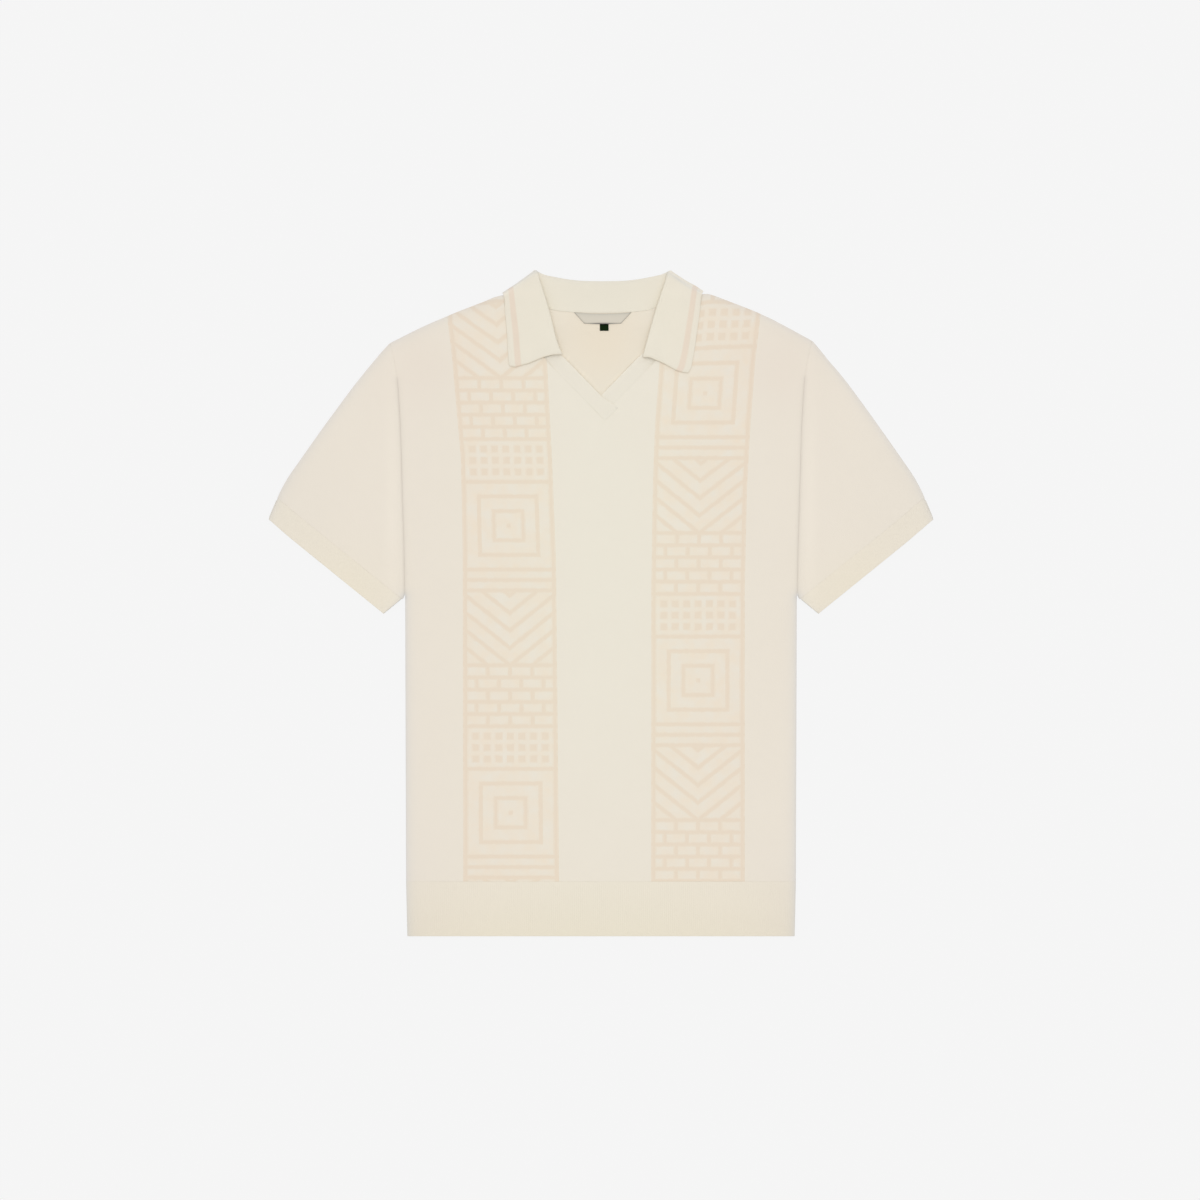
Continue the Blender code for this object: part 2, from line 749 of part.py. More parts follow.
def main():
    """Build every piece of the shirt into one collection."""
    clear_scene()
    group = bpy.data.collections.new("polo_shirt")
    bpy.context.scene.collection.children.link(group)
    back_panel()
    front_panel()
    hem_band("hem_band_back", back_height)
    hem_band("hem_band_front", front_height)
    for side in COLLAR_SIDES:
        sleeve_and_cuff(side.name, side.sign)
    neck_trims()
    collar()
    labels()


main()
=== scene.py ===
"""Looks of a fine-gauge knitted polo shirt that lies flat on a pale floor, front up.

Every knitted piece is made again as a finer sheet of cloth on the shape of its solid, with rounded
edges, soft creases and ribs, and takes the place of that solid. Lengths are in metres unless a name
says otherwise. x = 0 is the middle of the body, the neck is towards +Y, and the wearer's right
is at -X.
"""

import json
import logging
import math
from dataclasses import dataclass
from enum import Enum
from functools import partial
from typing import Callable, NamedTuple, Sequence, Union

import bpy
import numpy as np
from mathutils import Vector
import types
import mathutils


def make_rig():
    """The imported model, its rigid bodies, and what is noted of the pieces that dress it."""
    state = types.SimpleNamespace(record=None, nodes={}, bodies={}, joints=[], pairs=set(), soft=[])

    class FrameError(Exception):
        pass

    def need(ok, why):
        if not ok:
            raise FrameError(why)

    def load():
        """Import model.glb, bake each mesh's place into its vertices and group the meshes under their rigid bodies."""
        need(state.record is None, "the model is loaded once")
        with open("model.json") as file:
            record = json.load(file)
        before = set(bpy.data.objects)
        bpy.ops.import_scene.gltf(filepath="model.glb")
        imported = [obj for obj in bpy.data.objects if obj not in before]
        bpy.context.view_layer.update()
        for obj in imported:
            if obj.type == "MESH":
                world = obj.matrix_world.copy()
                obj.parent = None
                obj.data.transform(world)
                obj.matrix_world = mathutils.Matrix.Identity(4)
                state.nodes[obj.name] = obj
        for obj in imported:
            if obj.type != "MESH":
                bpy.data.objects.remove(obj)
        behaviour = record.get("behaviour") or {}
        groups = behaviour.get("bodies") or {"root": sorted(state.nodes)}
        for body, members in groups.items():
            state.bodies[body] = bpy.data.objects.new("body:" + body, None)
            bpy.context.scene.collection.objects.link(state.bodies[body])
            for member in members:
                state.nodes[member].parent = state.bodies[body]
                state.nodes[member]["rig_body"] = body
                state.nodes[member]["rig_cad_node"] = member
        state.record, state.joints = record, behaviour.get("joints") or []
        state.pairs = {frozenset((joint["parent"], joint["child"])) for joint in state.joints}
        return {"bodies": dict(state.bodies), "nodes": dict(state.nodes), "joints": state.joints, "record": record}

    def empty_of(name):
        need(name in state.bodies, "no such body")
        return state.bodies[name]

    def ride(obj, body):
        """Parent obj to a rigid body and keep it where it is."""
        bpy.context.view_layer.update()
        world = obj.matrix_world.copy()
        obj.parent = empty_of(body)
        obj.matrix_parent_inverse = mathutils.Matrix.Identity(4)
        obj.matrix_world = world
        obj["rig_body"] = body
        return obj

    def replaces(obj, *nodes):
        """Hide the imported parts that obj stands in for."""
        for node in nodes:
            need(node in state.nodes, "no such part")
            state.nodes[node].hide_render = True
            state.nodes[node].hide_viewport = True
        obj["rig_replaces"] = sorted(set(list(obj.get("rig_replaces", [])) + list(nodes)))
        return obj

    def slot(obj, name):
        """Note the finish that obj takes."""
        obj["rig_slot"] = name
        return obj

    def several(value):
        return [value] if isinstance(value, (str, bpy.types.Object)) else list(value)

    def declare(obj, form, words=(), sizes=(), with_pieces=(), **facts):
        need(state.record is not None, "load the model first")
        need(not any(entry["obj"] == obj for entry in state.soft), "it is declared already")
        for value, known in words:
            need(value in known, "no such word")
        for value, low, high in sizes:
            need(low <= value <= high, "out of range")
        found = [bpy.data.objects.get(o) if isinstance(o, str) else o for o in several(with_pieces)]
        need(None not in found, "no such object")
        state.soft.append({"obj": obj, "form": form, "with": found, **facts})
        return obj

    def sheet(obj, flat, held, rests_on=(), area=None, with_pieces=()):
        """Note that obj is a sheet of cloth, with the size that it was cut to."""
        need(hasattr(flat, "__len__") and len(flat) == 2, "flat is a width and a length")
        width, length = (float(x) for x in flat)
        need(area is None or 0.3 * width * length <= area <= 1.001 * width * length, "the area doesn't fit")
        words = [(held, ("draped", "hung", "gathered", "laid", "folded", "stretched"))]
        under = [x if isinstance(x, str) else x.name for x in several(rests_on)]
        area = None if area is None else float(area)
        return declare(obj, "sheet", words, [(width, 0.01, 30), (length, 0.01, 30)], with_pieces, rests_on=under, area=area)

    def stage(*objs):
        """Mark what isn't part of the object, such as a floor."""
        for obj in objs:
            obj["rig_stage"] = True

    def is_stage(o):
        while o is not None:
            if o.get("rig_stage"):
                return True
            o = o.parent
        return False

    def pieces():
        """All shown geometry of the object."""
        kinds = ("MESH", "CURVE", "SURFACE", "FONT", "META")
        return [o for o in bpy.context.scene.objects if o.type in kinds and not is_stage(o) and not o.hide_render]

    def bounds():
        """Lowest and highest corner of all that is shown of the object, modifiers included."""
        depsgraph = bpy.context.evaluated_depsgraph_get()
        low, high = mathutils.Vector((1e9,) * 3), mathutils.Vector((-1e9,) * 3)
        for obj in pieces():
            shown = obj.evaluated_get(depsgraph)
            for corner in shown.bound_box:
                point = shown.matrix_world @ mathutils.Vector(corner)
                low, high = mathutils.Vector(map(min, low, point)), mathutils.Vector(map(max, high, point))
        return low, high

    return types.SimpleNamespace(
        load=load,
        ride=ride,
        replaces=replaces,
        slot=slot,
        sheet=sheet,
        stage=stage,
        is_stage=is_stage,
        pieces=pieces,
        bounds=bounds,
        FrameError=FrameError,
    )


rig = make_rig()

LOG = logging.getLogger("polo_shirt")

Array = np.ndarray
Place = tuple[float, float]
Height = Callable[[Array, Array], Array]
OfPoints = Callable[[Array], Array]
Value = Union[bpy.types.NodeSocket, float, tuple]

SIZES_FILE = "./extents.json"
# Millimetres in a metre
MM = 1000.0
UP, DOWN = (0, 0, 1), (0, 0, -1)

# What a lattice holds at each of its points: its place, its place on the flat cut, the thickness of
# the cloth, and how far the outer face stands out of that thickness.
XYZ = slice(0, 3)
FLAT = slice(3, 5)
WALL = 5
RELIEF = 6
FIELDS = 7

# Rows beside an edge: how far in each lies, the share of the wall left there, and how far it is
# turned down. A free edge rounds off, a sewn one meets its neighbour in a fine groove, and at a
# side or shoulder seam the front turns down and the back up until they meet.
FREE = np.array(
    [(0.0, 0.30, 0.0), (0.00008, 0.52, 0.0), (0.0002, 0.74, 0.0), (0.0004, 0.90, 0.0), (0.0007, 1.0, 0.0)]
)
SEWN = np.array(
    [(0.0, 0.90, 0.0), (0.00012, 0.96, 0.0), (0.00035, 1.0, 0.0)]
    + [(0.0007, 1.0, 0.0), (0.0011, 1.0, 0.0), (0.0017, 1.0, 0.0)]
)
# The same for a narrow strip
SEWN_STRIP = SEWN[:5]
TURN_ANGLES = np.radians((90.0, 72.0, 54.0, 36.0, 18.0, 0.0))
# The most of the way to the next point that these rows take up
EDGE_SHARE = 0.9
# Decimals of a metre to which two points have to agree to become one
JOIN_DECIMALS = 6


# Curves


def evenly(count: int) -> Array:
    """Shares from 0 to 1, this many equal steps apart."""
    return np.linspace(0.0, 1.0, count + 1)


def smooth(t: Array) -> Array:
    """A step from 0 to 1 that starts and ends gently."""
    t = np.clip(t, 0.0, 1.0)
    return t * t * (3.0 - 2.0 * t)


def unit(vectors: Array) -> Array:
    """The vectors, each brought to length 1."""
    return vectors / np.linalg.norm(vectors, axis=-1, keepdims=True)


def nearest_on(places: Array, line: Array) -> tuple[Array, Array]:
    """Where a line comes nearest to some places.

    Args:
        places: Any array of (x, y).
        line: The points of the line.

    Returns:
        The distances, and how far along the line the nearest points are, from 0 to 1.
    """
    nearest = np.full(places.shape[:-1], np.inf)
    along = np.zeros(places.shape[:-1])
    for k, (start, end) in enumerate(zip(line, line[1:])):
        run = end - start
        share = np.clip((places - start) @ run / (run @ run), 0.0, 1.0)
        away = np.linalg.norm(places - start - share[..., None] * run, axis=-1)
        along = np.where(away < nearest, (k + share) / (len(line) - 1), along)
        nearest = np.minimum(away, nearest)
    return nearest, along


def through(points: Sequence[Place], fractions: Array) -> Array:
    """Places on a smooth curve through some points.

    Args:
        points: The points that the curve passes through.
        fractions: How far along the curve the places are, from 0 to 1.

    Returns:
        One place for each fraction.
    """
    knots = np.array(points, float)
    steps = np.linalg.norm(np.diff(knots, axis=0), axis=1)
    at_knot = np.concatenate([[0.0], np.cumsum(steps)])
    slopes = np.gradient(knots, at_knot, axis=0)
    at = np.clip(np.atleast_1d(fractions), 0.0, 1.0) * at_knot[-1]
    i = np.clip(np.searchsorted(at_knot, at, "right") - 1, 0, len(knots) - 2)
    step = (at_knot[i + 1] - at_knot[i])[:, None]
    t = (at - at_knot[i])[:, None] / step
    rise = t * t * (3.0 - 2.0 * t)
    leave = t * (1.0 - t) ** 2 * step
    arrive = t * t * (t - 1.0) * step
    return knots[i] * (1.0 - rise) + knots[i + 1] * rise + slopes[i] * leave + slopes[i + 1] * arrive


def stretches(points: Sequence[Place], counts: Sequence[int]) -> Array:
    """A line of straight stretches, each divided evenly.

    Args:
        points: The ends of the stretches.
        counts: How many steps each stretch is divided into.

    Returns:
        The points of the divided line.
    """
    ends = np.array(points, float)
    line = [ends[:1]]
    for start, end, count in zip(ends, ends[1:], counts):
        line.append(start + (end - start) * evenly(count)[1:, None])
    return np.vstack(line)


def moved_left(line: Array, distance: float) -> Array:
    """The line moved sideways, to the left of the way that its points run."""
    along = unit(np.gradient(line, axis=0))
    return line + distance * np.column_stack([-along[:, 1], along[:, 0]])


def spaced(length: float, step: float, near: Sequence[float]) -> Array:
    """Fractions along a length, close together at its far end.

    Args:
        length: The length that is divided.
        step: The even spacing over most of it.
        near: The distances from the far end that get a point of their own, rising from 0.

    Returns:
        Fractions from 0 to 1, with those near 1 at the distances asked for.
    """
    even = length - near[-1]
    count = max(1, round(even / step))
    return np.concatenate([np.linspace(0.0, even, count + 1), length - np.array(near[-2::-1])]) / length


def turned(angle: float) -> Array:
    """A level direction: straight out at 0, and towards +Y at a right angle."""
    return np.array([math.cos(angle), math.sin(angle)])


def over_fold(place: Array, high: float, low: float, outward: Array, turns: Array) -> Array:
    """The half circle in which cloth turns over at a fold.

    Args:
        place: Where the fold is, as (x, y).
        high: The height of the cloth above.
        low: The height of the cloth below.
        outward: The level way in which the fold bulges, or one for each point.
        turns: How far round each point is, from 0 above to half a turn below.

    Returns:
        One point for each turn.
    """
    radius = (high - low) / 2
    level = place + radius * np.sin(turns)[:, None] * outward
    return np.column_stack([level, (high + low) / 2 + radius * np.cos(turns)])


# The cut, and how the shirt lies


class Crease(NamedTuple):
    """A soft ridge along a bent line, or a trough where its height is negative."""

    start: Place
    bend: Place
    end: Place
    width: float
    height: float


class Leaf(NamedTuple):
    """One side of the collar: its roll and outer edge, from the leaf's point up to the shoulder.

    Its hang is how far its end rises above a straight line, from the outer corner to the roll.
    """

    name: str
    sign: int
    seam_end: Place
    roll: tuple[Place, ...]
    edge: tuple[Place, ...]
    hang_mm: tuple[float, ...]


@dataclass(frozen=True)
class Cut:
    """The sizes that the pieces share. Curves are for the half at +X, as (distance out, y)."""

    wall: float = 0.0015
    collar_wall: float = 0.0016
    seam_gap: float = 0.00004
    hem_y: float = -0.3824
    hem_band: float = 0.0630
    hem_half: float = 0.2229
    band_half: float = 0.2243
    underarm: Place = (0.2254, 0.0075)
    shoulder: tuple[Place, ...] = (
        (0.0805, 0.3570), (0.1120, 0.3522), (0.1250, 0.3496),
        (0.1390, 0.3450), (0.1950, 0.3220), (0.2425, 0.2995),
    )
    armhole: tuple[Place, ...] = (
        (0.2254, 0.0075), (0.2261, 0.0610), (0.2279, 0.1190), (0.2305, 0.2050),
        (0.2340, 0.2570), (0.2385, 0.2830), (0.2425, 0.2995),
    )
    sleeve_fold: tuple[Place, ...] = (
        (0.2425, 0.2995), (0.2720, 0.2675), (0.3000, 0.2305), (0.3250, 0.1950),
        (0.3460, 0.1645), (0.3605, 0.1430), (0.3710, 0.1225), (0.3825, 0.0956),
    )
    sleeve_bottom: Place = (0.2494, -0.0122)
    front_neck: tuple[Place, ...] = (
        (0.0583, 0.3026), (0.0693, 0.3220), (0.0775, 0.3420), (0.0805, 0.3570),
    )
    back_neck: tuple[Place, ...] = (
        (0.0, 0.3335), (0.0210, 0.3338), (0.0410, 0.3352),
        (0.0590, 0.3382), (0.0710, 0.3450), (0.0805, 0.3570),
    )
    v_point: Place = (0.0, 0.2390)
    v_top: Place = (0.0467, 0.2868)
    back_fall_y: float = 0.3274
    fall_fold: Place = (0.1155, 0.3517)
    outline_steps: int = 12

    @property
    def band_seam_y(self) -> float:
        """Where the body is joined to its hem band."""
        return self.hem_y + self.hem_band

    @property
    def neck_point(self) -> Place:
        """Where the shoulder seam meets the neck seam."""
        return self.shoulder[0]

    def v_run(self) -> Array:
        """The way up the V's edge, from its point."""
        return unit(np.array(self.v_top) - self.v_point)

    def side_x(self, y: Array) -> Array:
        """The body's side seam, which the hem band draws in a little."""
        heights = (self.hem_y, self.band_seam_y, self.underarm[1])
        return np.interp(y, heights, (self.hem_half, self.band_half, self.underarm[0]))

    def upper_edge(self) -> Array:
        """The sleeve's upper fold and the shoulder.

        Returns:
            The points of that line, from the cuff to the neck point.
        """
        shares = evenly(self.outline_steps)
        fold, shoulder = through(self.sleeve_fold, shares), through(self.shoulder, shares)
        return np.vstack([fold[::-1], shoulder[::-1][1:]])

    def lower_edge(self) -> Array:
        """The body's side from the hem's corner, and the sleeve's lower fold."""
        hem, seam = (self.hem_half, self.hem_y), (self.band_half, self.band_seam_y)
        return np.array([hem, seam, self.underarm, self.sleeve_bottom])

    def silhouette(self) -> Array:
        """The shirt's outer edge on one side, from the middle of the hem to the neck point."""
        return np.vstack([[(0.0, self.hem_y)], self.lower_edge(), self.upper_edge()])


# How far the upper parts have been pulled up the table: x and the pull there, in millimetres
UPPER_PULL_MM = (
    (-382, 1.6), (-345, 0.1), (-320, -0.8), (-306, -1.9), (-276, -2.6), (-262, -1.5), (-252, 0.0),
    (-206, 0.9), (-150, 0.3), (-132, 0.6), (-122, 2.0), (-115, 2.6), (-108, 1.9), (-98, 0.9),
    (-70, 0.0), (80, 0.0), (95, 1.3), (102, 2.2), (108, 3.7), (116, 4.0), (122, 6.0), (150, 5.5),
    (178, 6.1), (195, 5.8), (213, 4.7), (245, 2.7), (254, 1.5), (262, -0.3), (300, -0.2),
    (345, 1.3), (382, 1.4),
)


@dataclass(frozen=True)
class Pull:
    """How the shirt, cut the same on both sides, lies a little unevenly.

    The shoulders and the upper parts of the sleeves are pulled up the table, each place by its x.
    """

    cut: Cut
    depth: float = 0.100
    span: float = 0.400
    step: float = 0.001
    blur: int = 4

    def __call__(self, points: Array) -> Array:
        """Lays points of evenly cut cloth where they have been pulled to.

        Args:
            points: The points of the cloth.

        Returns:
            The points where they lie.
        """
        x, pull = np.array(UPPER_PULL_MM, float).T / MM
        steps = np.arange(-self.span, self.span + self.step / 2, self.step)
        window = np.hanning(2 * self.blur + 1)
        pull = np.convolve(np.interp(steps, x, pull), window / window.sum(), "same")
        edge = self.cut.upper_edge()[::-1]
        below = np.interp(np.abs(points[:, 0]), edge[:, 0], edge[:, 1]) - points[:, 1]
        moved = points.copy()
        moved[:, 1] += (1.0 - smooth(below / self.depth)) * np.interp(points[:, 0], steps, pull)
        return moved


# Ridges and troughs of the front and the sleeves' upper side, each with its own size
FRONT_CREASES = (
    Crease((-0.205, 0.020), (-0.180, 0.070), (-0.168, 0.135), 0.016, 0.0008),
    Crease((0.210, 0.035), (0.188, 0.075), (0.182, 0.150), 0.019, 0.0007),
    Crease((-0.216, 0.285), (-0.196, 0.225), (-0.198, 0.150), 0.021, 0.0009),
    Crease((0.220, 0.272), (0.203, 0.215), (0.206, 0.128), 0.018, 0.0010),
    Crease((-0.045, 0.190), (-0.030, 0.110), (-0.036, 0.010), 0.034, 0.0009),
    Crease((0.050, 0.150), (0.040, 0.020), (0.052, -0.090), 0.030, 0.0007),
    Crease((-0.150, -0.110), (-0.140, -0.190), (-0.152, -0.300), 0.028, 0.0008),
    Crease((0.128, -0.150), (0.142, -0.215), (0.133, -0.312), 0.032, 0.0007),
    Crease((-0.020, -0.175), (-0.004, -0.245), (-0.012, -0.345), 0.036, 0.0006),
    Crease((-0.205, -0.060), (-0.192, -0.140), (-0.200, -0.250), 0.017, 0.0006),
    Crease((0.207, -0.035), (0.196, -0.120), (0.204, -0.205), 0.015, 0.0006),
    Crease((-0.256, 0.262), (-0.290, 0.195), (-0.318, 0.118), 0.022, 0.0012),
    Crease((-0.246, 0.205), (-0.258, 0.130), (-0.272, 0.045), 0.018, 0.0009),
    Crease((0.258, 0.255), (0.286, 0.200), (0.306, 0.108), 0.024, 0.0011),
    Crease((0.244, 0.180), (0.252, 0.110), (0.268, 0.036), 0.016, 0.0008),
    Crease((-0.085, 0.245), (-0.098, 0.215), (-0.092, 0.160), 0.017, -0.0003),
    Crease((0.088, 0.236), (0.099, 0.205), (0.094, 0.142), 0.018, -0.0003),
)
# The back, whose ridges stand up off the floor into the air under the front
BACK_CREASES = (
    Crease((-0.150, 0.210), (-0.120, 0.090), (-0.135, -0.060), 0.026, 0.0007),
    Crease((0.130, 0.180), (0.118, 0.060), (0.140, -0.110), 0.022, 0.0008),
    Crease((-0.060, -0.120), (-0.020, -0.180), (-0.040, -0.260), 0.030, 0.0006),
    Crease((0.050, 0.040), (0.030, -0.060), (0.062, -0.150), 0.020, 0.0005),
    Crease((-0.010, 0.250), (0.006, 0.200), (-0.004, 0.130), 0.018, 0.0006),
)
CREASE_STEPS = 12


def crease_relief(x: Array, y: Array, creases: Sequence[Crease]) -> Array:
    """How far creases lift the cloth at some places.

    Args:
        x: The places' x.
        y: The places' y.
        creases: The creases that cross the cloth.

    Returns:
        The lift at each place.
    """
    places = np.stack(np.broadcast_arrays(x, y), axis=-1)
    lift = np.zeros(places.shape[:-1])
    t = evenly(CREASE_STEPS)[:, None]
    for crease in creases:
        ends = (1 - t) ** 2 * np.array(crease.start) + t**2 * np.array(crease.end)
        away, along = nearest_on(places, ends + 2 * t * (1 - t) * np.array(crease.bend))
        lift += crease.height * np.sin(math.pi * along) * np.exp(-((away / crease.width) ** 2))
    return lift


@dataclass(frozen=True)
class Lie:
    """How the shirt lies: the heights of the middle of its cloth, as sheets on each other."""

    cut: Cut
    air_edge: float = 0.0004
    air_middle: float = 0.0018
    air_ease: float = 0.0500
    lift: float = 0.0020
    lift_ease: float = 0.0250
    lift_margin: float = 0.0060
    fall_gap: float = 0.0002
    v_close: Place = (0.0190, 0.2585)
    seam_share: float = 0.80
    ditch_top: float = 0.290
    ditch_ease: float = 0.060
    ditch_least: float = 0.15

    def edge_distance(self, x: Array, y: Array) -> Array:
        """How far places are from the edges where the sheets lie closest.

        Args:
            x: The places' x.
            y: The places' y.

        Returns:
            The distances to the shirt's outer edge or the V's lower edges.
        """
        places = np.stack(np.broadcast_arrays(np.abs(x), y), axis=-1)
        from_v = nearest_on(places, np.array([self.cut.v_point, self.v_close]))[0]
        return np.minimum(nearest_on(places, self.cut.silhouette())[0], from_v)

    def plain_back(self, x: Array, y: Array) -> Array:
        """The back without its creases: on the floor, but for where the collar is under it.

        Args:
            x: The places' x.
            y: The places' y.

        Returns:
            The heights of the middle of its wall.
        """
        fold_out, fold_y = self.cut.fall_fold
        fall_y = self.cut.back_fall_y + (fold_y - self.cut.back_fall_y) * (x / fold_out) ** 2
        over_fall = smooth((y - fall_y + self.lift_margin) / self.lift_ease + 1.0)
        return self.cut.wall / 2 + self.lift * over_fall

    def back(self, x: Array, y: Array) -> Array:
        """The middle of the back's wall."""
        ease = smooth(self.edge_distance(x, y) / self.air_ease)
        return self.plain_back(x, y) + ease * crease_relief(x, y, BACK_CREASES)

    def front(self, x: Array, y: Array) -> Array:
        """The front, which lies on the back with a little air between.

        Args:
            x: The places' x.
            y: The places' y.

        Returns:
            The heights of the middle of its wall.
        """
        ease = smooth(self.edge_distance(x, y) / self.air_ease)
        air = self.air_edge + (self.air_middle - self.air_edge) * ease
        return self.plain_back(x, y) + self.cut.wall + air + crease_relief(x, y, FRONT_CREASES)

    def fall(self, x: Array, y: Array) -> Array:
        """The middle of the collar's wall where it lies on the front."""
        return self.front(x, y) + self.cut.wall / 2 + self.fall_gap + self.cut.collar_wall / 2

    def ditch(self, y: Array) -> Array:
        """The share of its depth that the armhole's ditch has at some heights: less at the shoulder."""
        full = smooth((self.ditch_top - y) / self.ditch_ease)
        return full * (1.0 - self.ditch_least) + self.ditch_least

    def seamed(self) -> Array:
        """The rows beside a side or shoulder seam, which turn round to meet the other sheet.

        Returns:
            The rows, as named at the top.
        """
        radius = (self.cut.wall + self.air_edge) / 2
        inset = self.cut.wall / 2 + radius * (1.0 - np.sin(TURN_ANGLES))
        share = np.array([self.seam_share] + [1.0] * (len(TURN_ANGLES) - 1))
        return np.column_stack([inset, share, radius * (1.0 - np.cos(TURN_ANGLES))])


# Sheets of cloth


def lattice(places: Array, height: Array, flat: Array, wall: float) -> Array:
    """A lattice of points through the middle of a piece of cloth.

    Args:
        places: Rows of (x, y).
        height: Rows of heights.
        flat: Rows of places on the flat cut.
        wall: The thickness of the cloth.

    Returns:
        Rows of points that hold the fields named at the top.
    """
    data = np.zeros((*places.shape[:2], FIELDS))
    data[..., :2] = places
    data[..., 2] = height
    data[..., FLAT] = flat
    data[..., WALL] = wall
    return data


def edged(data: Array, axis: int, end: bool, table: Array, down: float = 1.0) -> Array:
    """Shapes one edge of a lattice with rows close beside it.

    Args:
        data: The lattice.
        axis: 0 for an edge that is a row, 1 for one that is a column.
        end: True for the last row or column, False for the first.
        table: The rows, as named at the top, or one such table for each point of the edge.
        down: 1 where the cloth turns down, -1 where it turns up.

    Returns:
        The lattice with the rows or columns added.
    """
    rows = np.swapaxes(data, 0, axis)
    rows = rows[::-1] if end else rows
    step = np.linalg.norm(rows[1, :, XYZ] - rows[0, :, XYZ], axis=-1)
    table = np.broadcast_to(table[:, None] if table.ndim == 2 else table, (len(table), len(step), 3))
    fit = np.minimum(1.0, EDGE_SHARE * step / table[..., 0].max(axis=0))
    added = []
    for inset, share, turn in table.transpose(0, 2, 1):
        part = (inset * fit / step)[:, None]
        row = rows[0] * (1 - part) + rows[1] * part
        row[:, WALL] *= share
        row[:, 2] -= down * turn
        added.append(row)
    rows = np.concatenate([np.stack(added), rows[1:]])
    rows = rows[::-1] if end else rows
    return np.swapaxes(rows, 0, axis)


def free_all_round(data: Array) -> Array:
    """Rounds off each of a lattice's four edges.

    Args:
        data: The lattice.

    Returns:
        The lattice with the rows and columns added.
    """
    for axis, end in ((1, True), (1, False), (0, True), (0, False)):
        data = edged(data, axis, end, FREE)
    return data


def between(first: Array, second: Array, share: Array) -> Array:
    """A table of edge rows for each point of an edge, from the first at 0 to the second at 1."""
    share = share[None, :, None]
    return first[:, None] * (1 - share) + second[:, None] * share


def reach(data: Array, axis: int, end: bool) -> Array:
    """How far each point of a lattice is from its first or last row or column."""
    edge = np.take(data[..., XYZ], [-1 if end else 0], axis=axis)
    return np.linalg.norm(data[..., XYZ] - edge, axis=-1)


def dip(distance: Array, depth: float, width: float) -> Array:
    """How far the outer face goes down beside a seam or an edge."""
    return -depth * (1.0 - smooth(distance / width))


